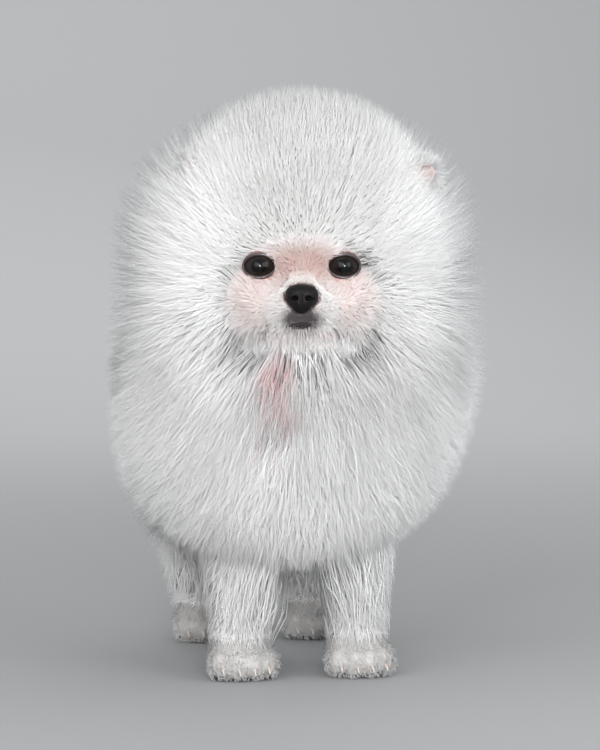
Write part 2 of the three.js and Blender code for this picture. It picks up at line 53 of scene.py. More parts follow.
# sizes of the head, written facing straight ahead and then turned about the neck. Each
# ellipsoid is its middle and its three half widths
head = {
    "turn": math.radians(-10),
    "pivot": (0.0, -0.050, 0.0),
    "eyeOfPart": (0.0195, -0.0902, 0.195),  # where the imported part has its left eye
    "eyeX": 0.0188,
    "eyeY": -0.0902,
    "eyeZ": 0.195,
    "eyeRadius": 0.0078,
    "noseCentre": (0.0, -0.1172, 0.1825),
    "faceHeart": (0.0, -0.084, 0.184),
    "mouthZ": 0.1675,
    "skin": [
        (0, -0.066, 0.205, 0.031, 0.032, 0.029),
        (0, -0.086, 0.190, 0.024, 0.014, 0.017),
        (0.017, -0.083, 0.178, 0.017, 0.015, 0.013),
        (-0.017, -0.083, 0.178, 0.017, 0.015, 0.013),
        (0, -0.103, 0.180, 0.014, 0.017, 0.0115),
        (0.006, -0.108, 0.1755, 0.009, 0.010, 0.0075),
        (-0.006, -0.108, 0.1755, 0.009, 0.010, 0.0075),
        (0, -0.098, 0.1685, 0.013, 0.017, 0.0065),
    ],
    "fill": [
        (0.0125, -0.094, 0.180, 0.013, 0.014, 0.011),
        (-0.0125, -0.094, 0.180, 0.013, 0.014, 0.011),
    ],
    "coat": [
        (0, -0.064, 0.232, 0.062, 0.046, 0.0485),
        (0.038, -0.062, 0.198, 0.036, 0.040, 0.046),
        (-0.038, -0.062, 0.198, 0.036, 0.040, 0.046),
    ],
    "puffCentre": (0, -0.060, 0.205),
    "puffRadii": (0.066, 0.050, 0.066),
    "bowl": (0, -0.124, 0.1855, 0.044, 0.040, 0.0250),
    "space": (0, -0.076, 0.222, 0.070, 0.060, 0.067),
    "skinBlend": 0.007,
    "coatBlend": 0.016,
    "shortCoat": 0.001,
}
# sizes of the body: ellipsoids of the skin, and of the outline that the coat reaches
body = {
    "neckSkin": [(0, -0.026, 0.118, 0.038, 0.042, 0.042)],
    "neckLine": ((0, -0.060, 0.190), (0, -0.028, 0.138), 0.027, 0.034),
    "neckCoat": [
        (-0.002, -0.050, 0.156, 0.0935, 0.060, 0.098),
        (0.001, -0.034, 0.213, 0.092, 0.052, 0.066),
        (-0.010, -0.059, 0.106, 0.080, 0.049, 0.055),
    ],
    "ruffCentre": (-0.004, -0.040, 0.160),
    "ruffRadii": (0.098, 0.068, 0.110),
    "trunkSkin": [
        (0, -0.014, 0.120, 0.038, 0.046, 0.040),
        (0, 0.028, 0.118, 0.035, 0.055, 0.035),
        (0, 0.064, 0.122, 0.035, 0.036, 0.036),
    ],
    "trunkCoat": [
        (0, 0.006, 0.140, 0.084, 0.066, 0.074),
        (0, 0.026, 0.130, 0.079, 0.082, 0.070),
        (0, 0.076, 0.116, 0.074, 0.046, 0.062),
        (0.038, 0.070, 0.088, 0.036, 0.046, 0.044),
        (-0.038, 0.070, 0.088, 0.036, 0.046, 0.044),
    ],
    "tailCoat": [
        (0, 0.068, 0.190, 0.048, 0.054, 0.034),
        (0, 0.092, 0.168, 0.032, 0.030, 0.034),
    ],
    "tailLine": [
        (0, 0.092, 0.148), (0, 0.104, 0.164), (0, 0.104, 0.186),
        (0, 0.084, 0.198), (0, 0.058, 0.200), (0, 0.030, 0.198),
    ],
    "neckBlend": 0.022,
    "trunkBlend": 0.024,
    "tailBlend": 0.014,
    "tailRadius": 0.008,
    "tailTaper": 0.0003,
    "footX": 0.028,
    "frontFeetY": -0.044,
    "hindFeetY": 0.076,
}
# legs as tapered lines: (from, to, radius there, radius here) for side 1, mirrored in x
legs = {
    "foreSkin": [
        ((0.028, -0.032, 0.096), (0.028, -0.034, 0.062), 0.015, 0.010),
        ((0.028, -0.034, 0.062), (0.028, -0.041, 0.010), 0.010, 0.009),
    ],
    "foreCoat": [((0.029, -0.038, 0.084), (0.028, -0.042, 0.010), 0.024, 0.0155)],
    "hindSkin": [
        ((0.026, 0.066, 0.098), (0.027, 0.068, 0.080), 0.020, 0.019),
        ((0.029, 0.062, 0.066), (0.029, 0.088, 0.036), 0.012, 0.0085),
        ((0.029, 0.088, 0.036), (0.029, 0.082, 0.012), 0.0085, 0.0085),
    ],
    "hindCoat": [
        ((0.032, 0.080, 0.060), (0.030, 0.088, 0.038), 0.030, 0.022),
        ((0.030, 0.088, 0.038), (0.028, 0.081, 0.010), 0.022, 0.0155),
    ],
}


def turnPoints(points, angle):
    pivot = np.array(head["pivot"])
    c, s = math.cos(angle), math.sin(angle)
    q = np.asarray(points, float) - pivot
    out = np.stack([q[..., 0] * c - q[..., 1] * s, q[..., 0] * s + q[..., 1] * c, q[..., 2]], -1)
    return out + pivot


def turned(points):
    return turnPoints(points, head["turn"])


def unturned(points):
    return turnPoints(points, -head["turn"])


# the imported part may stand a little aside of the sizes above, which its left eye tells
eyeLow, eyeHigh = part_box("eye_left")
shift = (np.array(eyeLow) + np.array(eyeHigh)) / 2 - turned(np.array(head["eyeOfPart"]))


# distances to simple forms, for arrays of points
def eggDistance(p, egg):
    centre = np.array(egg[:3])
    radii = np.array(egg[3:])
    q = (p - centre) / radii
    k = np.linalg.norm(q, axis=-1)
    g = np.linalg.norm(q / radii, axis=-1)
    return k * (k - 1) / np.maximum(g, 1e-9)


def lineDistance(p, line):
    a, b = np.array(line[0], float), np.array(line[1], float)
    t = np.clip(((p - a) @ (b - a)) / np.dot(b - a, b - a), 0, 1)
    near = a + t[..., None] * (b - a)
    return np.linalg.norm(p - near, axis=-1) - (line[2] + (line[3] - line[2]) * t)


def blended(distances, width):
    d = distances[0]
    for e in distances[1:]:
        h = np.maximum(width - np.abs(d - e), 0) / width
        d = np.minimum(d, e) - h * h * width / 4
    return d


def mirrored(line, side):
    a, b, ra, rb = line
    return ((a[0] * side, a[1], a[2]), (b[0] * side, b[1], b[2]), ra, rb)


def legLines(key):
    return [mirrored(line, side) for side in (1, -1) for line in legs[key]]


def headSkin(p):
    return blended([eggDistance(p, egg) for egg in head["skin"]], head["skinBlend"])


def headCoat(p):
    puff = blended([eggDistance(p, egg) for egg in head["coat"]], head["coatBlend"])
    roundFace = np.maximum(puff, -eggDistance(p, head["bowl"]))
    return np.minimum(headSkin(p) - head["shortCoat"], roundFace)


def neckCoat(p):
    return blended([eggDistance(p, egg) for egg in body["neckCoat"]], body["neckBlend"])


def trunkCoat(p):
    return blended([eggDistance(p, egg) for egg in body["trunkCoat"]], body["trunkBlend"])


def tailCoat(p):
    return blended([eggDistance(p, egg) for egg in body["tailCoat"]], body["tailBlend"])


def legCoat(p):
    lines = legLines("foreCoat") + legLines("hindCoat")
    return np.minimum.reduce([lineDistance(p, line) for line in lines])


def wholeCoat(p):
    parts = [headCoat(unturned(p)), neckCoat(p), trunkCoat(p), tailCoat(p), legCoat(p)]
    return np.minimum.reduce(parts)


def normalised(v):
    return v / np.maximum(np.linalg.norm(v, axis=-1, keepdims=True), 1e-12)


def activate(piece):
    bpy.ops.object.select_all(action="DESELECT")
    piece.select_set(True)
    bpy.context.view_layer.objects.active = piece


def points(piece):
    co = np.empty(len(piece.data.vertices) * 3)
    piece.data.vertices.foreach_get("co", co)
    return co.reshape(-1, 3)


def setPoints(piece, co):
    piece.data.vertices.foreach_set("co", np.ascontiguousarray(co, dtype=np.float32).ravel())
    piece.data.update()


def applyModifier(piece, name, kind, **values):
    made = piece.modifiers.new(name, kind)
    for key, value in values.items():
        setattr(made, key, value)
    activate(piece)
    bpy.ops.object.modifier_apply(modifier=name)


def faceOutwards(piece):
    activate(piece)
    bpy.ops.object.mode_set(mode="EDIT")
    bpy.ops.mesh.select_all(action="SELECT")
    bpy.ops.mesh.normals_make_consistent(inside=False)
    bpy.ops.object.mode_set(mode="OBJECT")


def joinPieces(pieces, name):
    bpy.ops.object.select_all(action="DESELECT")
    for piece in pieces:
        piece.select_set(True)
    bpy.context.view_layer.objects.active = pieces[0]
    bpy.ops.object.join()
    joined = bpy.context.view_layer.objects.active
    joined.name = name
    joined.data.name = name
    return joined


def addEgg(egg, isHead=False, segments=24, rings=16):
    bpy.ops.mesh.primitive_uv_sphere_add(segments=segments, ring_count=rings, radius=1, location=(0, 0, 0))
    piece = bpy.context.active_object
    co = points(piece) * np.array(egg[3:]) + np.array(egg[:3])
    if isHead:
        co = turned(co)
    setPoints(piece, co + shift)
    return piece


# limbs, toes and tail are rows of small balls, which the remeshing makes one form
balls = {"spacing": 0.004, "fewest": 3, "segments": 14, "rings": 10}


def addBall(place, radii):
    return addEgg((*place, *radii), segments=balls["segments"], rings=balls["rings"])


def addLine(line):
    a, b = np.array(line[0], float), np.array(line[1], float)
    eggs = []
    count = max(balls["fewest"], int(np.linalg.norm(b - a) / balls["spacing"]))
    for i in range(count + 1):
        t = i / count
        r = line[2] + (line[3] - line[2]) * t
        eggs.append(addBall(a + (b - a) * t, (r, r, r)))
    return eggs


# the line of the mouth: it drops beside the nose and rises to its corners
mouth = {
    "half": 0.030,
    "drop": 0.0032,
    "lift": 0.0016,
    "steps": 40,
    "roll": 0.0010,
    "rollBevel": 2,
    "rollHeights": (0.0007, -0.0008),
    "rollFull": 0.95,
    "rollEnd": 0.12,
    "frontY": -0.118,
    "cornerBack": 0.034,
    "bulge": 0.15,
    "pinks": [  # colour, how far from the middle it starts, and over what length it comes
        ((0.30, 0.19, 0.18), 0.007, 0.006),
        ((0.60, 0.42, 0.39), 0.014, 0.012),
    ],
}


def mouthHeight(x):
    t = np.clip(np.abs(x) / mouth["half"], 0, 1)
    return head["mouthZ"] - mouth["drop"] * t * (1 - t) + mouth["lift"] * t * t


# markings and painted shade, shared by the skin and the coat: colours are linear, places face straight ahead
marks = {
    "white": (0.965, 0.965, 0.965),
    "skinPink": (0.62, 0.40, 0.37),
    "cheekPink": (0.80, 0.56, 0.52),
    "browPink": (0.47, 0.26, 0.225),
    "lipDark": (0.022, 0.018, 0.020),
    # painted shade for the muzzle beside the nose
    "muzzleShade": (0.50, 0.465, 0.46),
    "creamy": (0.88, 0.85, 0.835),
    # painted shade: grey for the feet, on their skin and on all their fur
    "foot": (0.41, 0.41, 0.405),
    # painted shade for the top of the head
    "crown": (0.66, 0.66, 0.65),
    # pink skin darkened with painted shade, for the partings
    "partingPinkShade": (0.58, 0.27, 0.28),
}


def spot(p, centre, radii, soft):
    k = np.linalg.norm((p - np.array(centre)) / np.array(radii), axis=-1)
    return np.clip((1 + soft - k) / (2 * soft), 0, 1)


def mixed(colour, other, share):
    return colour * (1 - share[:, None]) + np.array(other) * share[:, None]


# spots of colour on the face, round the eyes partly painted shade: colour, share, place, radii and softness
# of the edge
pairedSpots = [
    ("cheekPink", 0.75, (0.022, -0.096, 0.192), (0.012, 0.02, 0.009), 0.5),
    ("cheekPink", 0.60, (0.021, -0.094, 0.179), (0.011, 0.02, 0.010), 0.5),
    # partly pink skin and partly painted shade: darker pink in the inner corners of the eyes and round the
    # eyes
    ("browPink", 0.75, (0.0085, -0.100, 0.194), (0.006, 0.014, 0.008), 0.5),
    ("browPink", 0.85, (0.0192, -0.098, 0.195), (0.0092, 0.012, 0.0072), 0.3),
]
browSpot = ("browPink", 0.8, (0, -0.104, 0.1965), (0.011, 0.02, 0.0075), 0.5)
muzzleSpots = [
    # painted shade round the dark patch under the nose, out towards the cheeks
    ("muzzleShade", 0.7, (0, -0.119, 0.1745), (0.0135, 0.014, 0.0095), 0.5),
    ("lipDark", 0.95, (0, -0.121, 0.1728), (0.0086, 0.011, 0.0056), 0.25),
]
mouthMark = {"halfHeight": 0.0016, "share": 0.7, "backTo": -0.075}


def spotted(colour, q, row, side=1):
    name, share, (x, y, z), radii, soft = row
    return mixed(colour, marks[name], share * spot(q, (side * x, y, z), radii, soft))


def markingsAndShadeAt(p, base):
    q = unturned(p)
    colour = np.tile(np.array(marks[base]), (len(p), 1))
    for side in (1, -1):
        for row in pairedSpots:
            colour = spotted(colour, q, row, side)
    colour = spotted(colour, q, browSpot)
    # the line of the mouth shows pink through the hair
    ahead = (np.abs(q[:, 0]) < mouth["half"]) & (q[:, 1] < mouthMark["backTo"])
    line = np.exp(-((q[:, 2] - mouthHeight(q[:, 0])) / mouthMark["halfHeight"]) ** 2) * ahead
    colour = mixed(colour, marks["browPink"], mouthMark["share"] * line)
    for row in muzzleSpots:
        colour = spotted(colour, q, row)
    return colour


# two partings of the coat on the chest, where pink shows between the tufts; the tufts there are tinted with
# pink skin darkened by painted shade of the gap
partings = {
    "places": [
        ((-0.020, -0.106, 0.1465), (0.0078, 0.030, 0.0082)),
        ((-0.020, -0.106, 0.1205), (0.0092, 0.030, 0.0062)),
    ],
    "share": 0.85,
    "soft": 0.18,
    "cuts": (0.95, 0.35, 10),  # where along a tuft it may end: first, last and how many
    "chance": 0.7,
}


def partingTint(colour, p):
    for centre, radii in partings["places"]:
        share = partings["share"] * spot(p, centre, radii, partings["soft"])
        colour = mixed(colour, marks["partingPinkShade"], share)
    return colour


print("camera and light")
view = {
    "azimuth": math.radians(-10),
    "elevation": math.radians(3.5),
    "distance": 1.30,
    "lens": 138.0,
    "sensor": 36.0,
    "below": 0.049,  # how far the middle of the picture lies below the eyes
    "aside": -0.0008,
    "ahead": 0.007,
    "nearest": 0.05,
    "farthest": 30,
}


def makeCamera():
    eyes = turned(np.array([0.0, head["eyeY"] - view["ahead"], head["eyeZ"]])) + shift
    target = Vector(eyes) - Vector((-view["aside"], 0, view["below"]))
    away = Vector((
        math.sin(view["azimuth"]) * math.cos(view["elevation"]),
        -math.cos(view["azimuth"]) * math.cos(view["elevation"]),
        math.sin(view["elevation"]),
    ))
    bpy.ops.object.camera_add(location=target + away * view["distance"])
    camera = bpy.context.active_object
    camera.rotation_euler = (-away).to_track_quat("-Z", "Y").to_euler()
    camera.data.lens = view["lens"]
    camera.data.sensor_fit = "VERTICAL"
    camera.data.sensor_height = view["sensor"]
    camera.data.clip_start = view["nearest"]
    camera.data.clip_end = view["farthest"]
    scene.camera = camera


studio = {
    "lamps": {  # place, width, power, colour
        "key": ((-1.2, -1.5, 0.8), 1.4, 18.5, (1.0, 0.995, 0.985)),
        "fill": ((1.2, -1.6, 0.75), 1.3, 15.0, (0.98, 0.99, 1.0)),
        "low": ((-0.1, -1.6, 0.36), 0.38, 21.0, (1.0, 1.0, 1.0)),
        "rim": ((0.5, 1.5, 1.3), 1.6, 10.0, (1.0, 1.0, 1.0)),
        "window": ((-0.50, -1.7, 0.85), 0.24, 5.0, (1.0, 1.0, 1.0)),
        "back": ((0.0, 1.5, 1.6), 1.6, 20.0, (0.98, 0.99, 1.0)),
    },
    "aim": (0, -0.03, 0.15),
    "backAim": (0.0, 2.9, 0.6),
    "floorSize": 16,
    "floorSteps": 80,
    "riseFrom": 1.6,
    "riseRate": 0.5,
    "world": (0.97, 0.985, 1.0),
    "worldStrength": 0.80,
    "floorColour": (0.305, 0.308, 0.314, 1),
}


def makeStudio():
    for name, (place, size, power, colour) in studio["lamps"].items():
        aim = Vector(studio["backAim"] if name == "back" else studio["aim"])
        bpy.ops.object.light_add(type="AREA", location=place)
        lamp = bpy.context.active_object
        lamp.name = name
        lamp.rotation_euler = (aim - Vector(place)).to_track_quat("-Z", "Y").to_euler()
        lamp.data.size = size
        lamp.data.energy = power
        lamp.data.color = colour
    world = bpy.data.worlds.new("studio")
    world.use_nodes = True
    sky = world.node_tree.nodes["Background"]
    sky.inputs["Color"].default_value = (*studio["world"], 1)
    sky.inputs["Strength"].default_value = studio["worldStrength"]
    scene.world = world
    scene.view_settings.view_transform = "Standard"
    # a floor that rises in one soft curve behind
    bpy.ops.mesh.primitive_grid_add(
        x_subdivisions=2, y_subdivisions=studio["floorSteps"], size=studio["floorSize"], location=(0, 0, 0))
    floor = bpy.context.active_object
    floor.name = "floor"
    co = points(floor)
    rise = np.clip(co[:, 1] - studio["riseFrom"], 0, None)
    co[:, 2] = studio["riseRate"] * rise ** 2
    setPoints(floor, co)
    bpy.ops.object.shade_smooth()
    paper = bpy.data.materials.new("floorPaper")
    paper.use_nodes = True
    shader = paper.node_tree.nodes["Principled BSDF"]
    shader.inputs["Base Color"].default_value = studio["floorColour"]
    shader.inputs["Roughness"].default_value = 0.9
    floor.data.materials.append(paper)


makeCamera()
makeStudio()


# a shader group used by most materials: small differences of colour, and a height for bumps
def fineGroup():
    made = bpy.data.node_groups.new("fineVariation", "ShaderNodeTree")
    made.interface.new_socket("Colour", in_out="INPUT", socket_type="NodeSocketColor")
    made.interface.new_socket("Scale", in_out="INPUT", socket_type="NodeSocketFloat")
    made.interface.new_socket("Amount", in_out="INPUT", socket_type="NodeSocketFloat")
    made.interface.new_socket("Colour", in_out="OUTPUT", socket_type="NodeSocketColor")
    made.interface.new_socket("Height", in_out="OUTPUT", socket_type="NodeSocketFloat")
    nodes, links = made.nodes, made.links
    start = nodes.new("NodeGroupInput")
    end = nodes.new("NodeGroupOutput")
    where = nodes.new("ShaderNodeTexCoord")
    noise = nodes.new("ShaderNodeTexNoise")
    noise.inputs["Detail"].default_value = 4
    spread = nodes.new("ShaderNodeMapRange")
    spread.inputs["From Min"].default_value = 0.3
    spread.inputs["From Max"].default_value = 0.7
    spread.inputs["To Min"].default_value = 1.0
    dark = nodes.new("ShaderNodeMath")
    dark.operation = "SUBTRACT"
    dark.inputs[0].default_value = 1.0
    mix = nodes.new("ShaderNodeMix")
    mix.data_type = "RGBA"
    mix.blend_type = "MULTIPLY"
    mix.inputs[0].default_value = 1.0
    links.new(where.outputs["Object"], noise.inputs["Vector"])
    links.new(start.outputs["Scale"], noise.inputs["Scale"])
    links.new(noise.outputs["Fac"], spread.inputs["Value"])
    links.new(start.outputs["Amount"], dark.inputs[1])
    links.new(dark.outputs[0], spread.inputs["To Max"])
    links.new(start.outputs["Colour"], mix.inputs[6])
    links.new(spread.outputs[0], mix.inputs[7])
    links.new(mix.outputs[2], end.inputs["Colour"])
    links.new(noise.outputs["Fac"], end.inputs["Height"])
    return made


variation = fineGroup()


def makeMaterial(name, roughness, scale, amount, bump, colour=None, **sockets):
    # without a colour of its own, a material reads the tint that its piece carries
    made = bpy.data.materials.new(name)
    made.use_nodes = True
    nodes, links = made.node_tree.nodes, made.node_tree.links
    shader = nodes["Principled BSDF"]
    shader.inputs["Roughness"].default_value = roughness
    for key, value in sockets.items():
        shader.inputs[key.replace("_", " ")].default_value = value
    fine = nodes.new("ShaderNodeGroup")
    fine.node_tree = variation
    fine.inputs["Scale"].default_value = scale
    fine.inputs["Amount"].default_value = amount
    if colour:
        fine.inputs["Colour"].default_value = (*colour, 1)
    else:
        read = nodes.new("ShaderNodeAttribute")
        read.attribute_name = "tint"
        links.new(read.outputs["Color"], fine.inputs["Colour"])
    links.new(fine.outputs["Colour"], shader.inputs["Base Color"])
    if bump:
        relief = nodes.new("ShaderNodeBump")
        relief.inputs["Strength"].default_value = bump
        relief.inputs["Distance"].default_value = 0.0004
        links.new(fine.outputs["Height"], relief.inputs["Height"])
        links.new(relief.outputs["Normal"], shader.inputs["Normal"])
    return made


furMaterial = makeMaterial("whiteFur", 0.85, 90, 0.04, 0, Specular_IOR_Level=0.1, Subsurface_Weight=0.6,
                           Subsurface_Scale=0.0012, Subsurface_Radius=(1, 1, 1))
skinMaterial = makeMaterial("pinkSkin", 0.6, 700, 0.12, 0.5, Specular_IOR_Level=0.35)
noseMaterial = makeMaterial("noseLeather", 0.40, 1400, 0.4, 1.0, (0.004, 0.003, 0.0035),
                            Specular_IOR_Level=0.16)
lipMaterial = makeMaterial("lipSkin", 0.75, 900, 0.2, 0.6, Specular_IOR_Level=0.15)
lidMaterial = makeMaterial("lidSkin", 0.4, 900, 0.2, 0.4, Coat_Weight=0.2)
earMaterial = makeMaterial("earSkin", 0.65, 500, 0.2, 0.5, (0.50, 0.40, 0.39))
padMaterial = makeMaterial("padLeather", 0.7, 1200, 0.35, 1.0, (0.10, 0.085, 0.088))
clawMaterial = makeMaterial("claw", 0.35, 900, 0.15, 0.2, (0.55, 0.47, 0.42))


def addTint(piece, colours):
    layer = piece.data.color_attributes.new("tint", "FLOAT_COLOR", "POINT")
    full = np.ones((len(colours), 4), dtype=np.float32)
    full[:, :3] = colours
    layer.data.foreach_set("color", full.ravel())


def dress(piece, material, slotName, *replaced):
    piece.data.materials.clear()
    piece.data.materials.append(material)
    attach(piece, "root")
    if replaced:
        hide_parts(*replaced)


# eyes, each a wet dark ball, with lids round an almond opening
eye = {
    "halfWidth": 0.0067,
    "halfHeight": 0.0045,
    "gaze": (0.09, -1, 0.02),
    "bulge": 0.0007,
    "bulgeFrom": 0.75,
    "gloss": 0.03,
    "specular": 0.23,
    "rings": [  # from the pupil out: place and colour
        (0.0, (0.002, 0.002, 0.002)),
        (0.42, (0.002, 0.002, 0.002)),
        (0.48, (0.008, 0.0045, 0.0035)),
        (0.74, (0.006, 0.0035, 0.003)),
        (0.84, (0.004, 0.003, 0.003)),
        (0.97, (0.10, 0.08, 0.075)),
    ],
}
# the socket: how far the skin lies off the lids, and how it slopes up from them
socket = {"gap": 0.0006, "sunk": 0.002, "raised": 0.0003, "slope": 0.00589, "wide": 0.017}


def gazeOf(side):
    aside, ahead, up = eye["gaze"]
    return normalised(np.array([side * aside, ahead, up]))


def eyeMiddle(side):
    return np.array([side * head["eyeX"], head["eyeY"], head["eyeZ"]])


def eyeAxes(side):
    front = gazeOf(side)
    across = normalised(np.cross(front, np.array([0, 0, 1.0])))
    up = np.cross(across, front)
    return front, across, up


# nose: two wings, a broad top, comma-shaped nostrils and the groove between them
nose = {
    "eggs": [
        (0, -0.1172, 0.1834, 0.0066, 0.0050, 0.0044),
        (0, -0.1178, 0.1794, 0.0044, 0.0044, 0.0046),
        (0.0036, -0.1158, 0.1823, 0.0034, 0.0046, 0.0036),
        (-0.0036, -0.1158, 0.1823, 0.0034, 0.0046, 0.0036),
    ],
    "blend": 0.003,
    "middle": (0, -0.117, 0.1824),
    "reach": 0.012,
    "halvings": 30,
    "depth": 0.0026,
    "holeAt": (0.0030, 0, 0.1815),
    "holeHalf": (0.00150, 1e9, 0.00115),
    "slitAt": (0.0048, 0, 0.1809),
    "slitHalf": (0.0016, 1e9, 0.00050),
    "grooveHalf": 0.00045,
    "grooveTop": 0.1835,
    "grooveDepth": 0.0008,
}


def noseDistance(p):
    return blended([eggDistance(p, egg) for egg in nose["eggs"]], nose["blend"])


# the regions of the skin, each with its own kind of hair, by the places where they end
regions = {
    "faceCoat": 0.0035,
    "faceBack": -0.070,
    "faceLow": 0.1645,
    "headEdge": -0.001,
    "tailAhead": 0.02,
    "tailLow": 0.162,
    "legSplit": 0.03,
    "hindLegTop": 0.066,
    "foreLegTop": 0.080,
    "footTop": 0.019,
    "ruffBack": (-0.010, 0.120),
    "ruffLean": (0.954, 0.301),
}


def isFace(p):
    q = unturned(p)
    short = headCoat(q) > headSkin(q) - regions["faceCoat"]
    return short & (q[:, 1] < regions["faceBack"]) & (q[:, 2] > regions["faceLow"])


def isHead(p):
    return eggDistance(unturned(p), head["space"]) < regions["headEdge"]


def isTail(p):
    return (p[:, 1] > regions["tailAhead"]) & (p[:, 2] > regions["tailLow"])


def isLeg(p):
    hind = p[:, 1] > regions["legSplit"]
    return p[:, 2] < np.where(hind, regions["hindLegTop"], regions["foreLegTop"])


def isRuff(p):
    (y, z), (forward, up) = regions["ruffBack"], regions["ruffLean"]
    return (p[:, 2] - z) * up - (p[:, 1] - y) * forward > 0


def regionOf(p):
    region = np.full(len(p), "trunk", dtype="<U6")
    region[isRuff(p)] = "ruff"
    region[isTail(p)] = "tail"
    region[isHead(p)] = "head"
    region[isFace(p)] = "face"
    region[isLeg(p)] = "leg"
    region[p[:, 2] < regions["footTop"]] = "foot"
    return region


# skin: one closed form under all the coat
feet = {
    "toeGap": 0.0072,
    "toe": (0.0050, 0.0078, 0.0068),
    "toeZ": 0.0074,
    "body": (0.0145, 0.0125, 0.0115),
    "toeBow": 0.0017,
    "bodyBack": 0.002,
    "bodyZ": 0.0118,
    "reach": 0.0106,
}


def footPlaces():
    rows = (body["frontFeetY"], body["hindFeetY"])
    return [(side * body["footX"], y) for y in rows for side in (1, -1)]


def toePlaces():
    places = []
    for x, y in footPlaces():
        for across in (-1.5, -0.5, 0.5, 1.5):
            forward = feet["reach"] - feet["toeBow"] * across * across
            places.append((x + across * feet["toeGap"], y - forward, feet["toeZ"]))
    return places


def tailPoints(count=16):
    control = [Vector(p) for p in body["tailLine"]]
    made = []
    for i in range(count):
        s = i / (count - 1) * (len(control) - 1)
        k = min(int(s), len(control) - 2)
        made.append(control[k].lerp(control[k + 1], s - k))
    return made


skinForm = {"voxel": 0.0013, "rounds": 14, "noseClear": 0.0004, "noseSink": 0.0050}
skinLook = {
    "underCoat": 0.8,
    "noseRing": 0.0012,
    "noseShare": 0.9,
    "footShadeShare": 0.9,
    "footFrom": 0.030,
    "footOver": 0.010,
}


def sinkSockets(q):
    # skin near each eye slopes down to the edge of its lids
    for side in (1, -1):
        front, across, up = eyeAxes(side)
        away = q - eyeMiddle(side)
        wide, high, deep = away @ across, away @ up, away @ front
        flat = np.hypot(wide, high)
        halfWidth, halfHeight = eye["halfWidth"] + socket["gap"], eye["halfHeight"] + socket["gap"]
        oval = np.hypot(wide / halfWidth, high / halfHeight)
        ball = np.sqrt(np.maximum(head["eyeRadius"] ** 2 - flat ** 2, 0))
        rising = ball + socket["raised"] + socket["slope"] * np.maximum(oval - 1, 0)
        allowed = np.where(oval < 1, ball - socket["sunk"], rising)
        near = (flat < socket["wide"]) & (deep > 0) & (deep > allowed)
        q[near] += front * (allowed - deep)[near, None]
    return q


def skinTint(co):
    # pink on the face, pale under the coat, dark in a ring round the nose, and painted shade that greys the
    # skin towards the feet
    region = regionOf(co)
    coated = ((region != "face") & (region != "foot")) * skinLook["underCoat"]
    tint = mixed(markingsAndShadeAt(co, "skinPink"), marks["creamy"], coated)
    ring = np.clip(1.6 - noseDistance(unturned(co)) / skinLook["noseRing"], 0, 1)
    tint = mixed(tint, marks["lipDark"], skinLook["noseShare"] * ring)
    low = np.clip((skinLook["footFrom"] - co[:, 2]) / skinLook["footOver"], 0, 1)
    return mixed(tint, marks["foot"], skinLook["footShadeShare"] * low)


def makeSkin():
    eggs = [addEgg(egg, True) for egg in head["skin"] + head["fill"]]
    eggs += [addEgg(egg) for egg in body["neckSkin"] + body["trunkSkin"]]
    eggs += addLine(body["neckLine"])
    for line in legLines("foreSkin") + legLines("hindSkin"):
        eggs += addLine(line)
    for i, p in enumerate(tailPoints()):
        eggs.append(addBall(p, (body["tailRadius"] - body["tailTaper"] * i,) * 3))
    for x, y in footPlaces():
        eggs.append(addEgg((x, y + feet["bodyBack"], feet["bodyZ"], *feet["body"])))
    for place in toePlaces():
        eggs.append(addBall(place, feet["toe"]))
    skin = joinPieces(eggs, "skin")
    applyModifier(skin, "whole", "REMESH", mode="VOXEL", voxel_size=skinForm["voxel"], use_smooth_shade=True)
    applyModifier(skin, "even", "SMOOTH", factor=0.5, iterations=skinForm["rounds"])
    q = sinkSockets(unturned(points(skin) - shift))
    behindNose = noseDistance(q) < skinForm["noseClear"]
    q[behindNose, 1] += skinForm["noseSink"]
    setPoints(skin, turned(q) + shift)
    bpy.ops.object.mode_set(mode="EDIT")
    bpy.ops.mesh.select_all(action="SELECT")
    bpy.ops.uv.smart_project(angle_limit=math.radians(66), island_margin=0.002)
    bpy.ops.object.mode_set(mode="OBJECT")
    skin.data.uv_layers[0].name = "OFBake"
    bpy.ops.object.shade_smooth()
    addTint(skin, skinTint(points(skin) - shift))
    flesh = [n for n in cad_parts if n.split("_")[0] not in ("eye", "ear", "nose")]
    dress(skin, skinMaterial, "coat", *flesh)
    return skin


skin = makeSkin()
print("skin", len(skin.data.polygons), "faces")


def eyeMaterial():
    made = bpy.data.materials.new("eyeGloss")
    made.use_nodes = True
    nodes, links = made.node_tree.nodes, made.node_tree.links
    shader = nodes["Principled BSDF"]
    shader.inputs["Roughness"].default_value = eye["gloss"]
    shader.inputs["Specular IOR Level"].default_value = eye["specular"]
    read = nodes.new("ShaderNodeAttribute")
    read.attribute_name = "ring"
    ramp = nodes.new("ShaderNodeValToRGB")
    ramp.color_ramp.elements.remove(ramp.color_ramp.elements[1])
    for i, (place, colour) in enumerate(eye["rings"]):
        stop = ramp.color_ramp.elements[0] if i == 0 else ramp.color_ramp.elements.new(place)
        stop.position = place
        stop.color = (*colour, 1)
    links.new(read.outputs["Fac"], ramp.inputs["Fac"])
    links.new(ramp.outputs["Color"], shader.inputs["Base Color"])
    return made


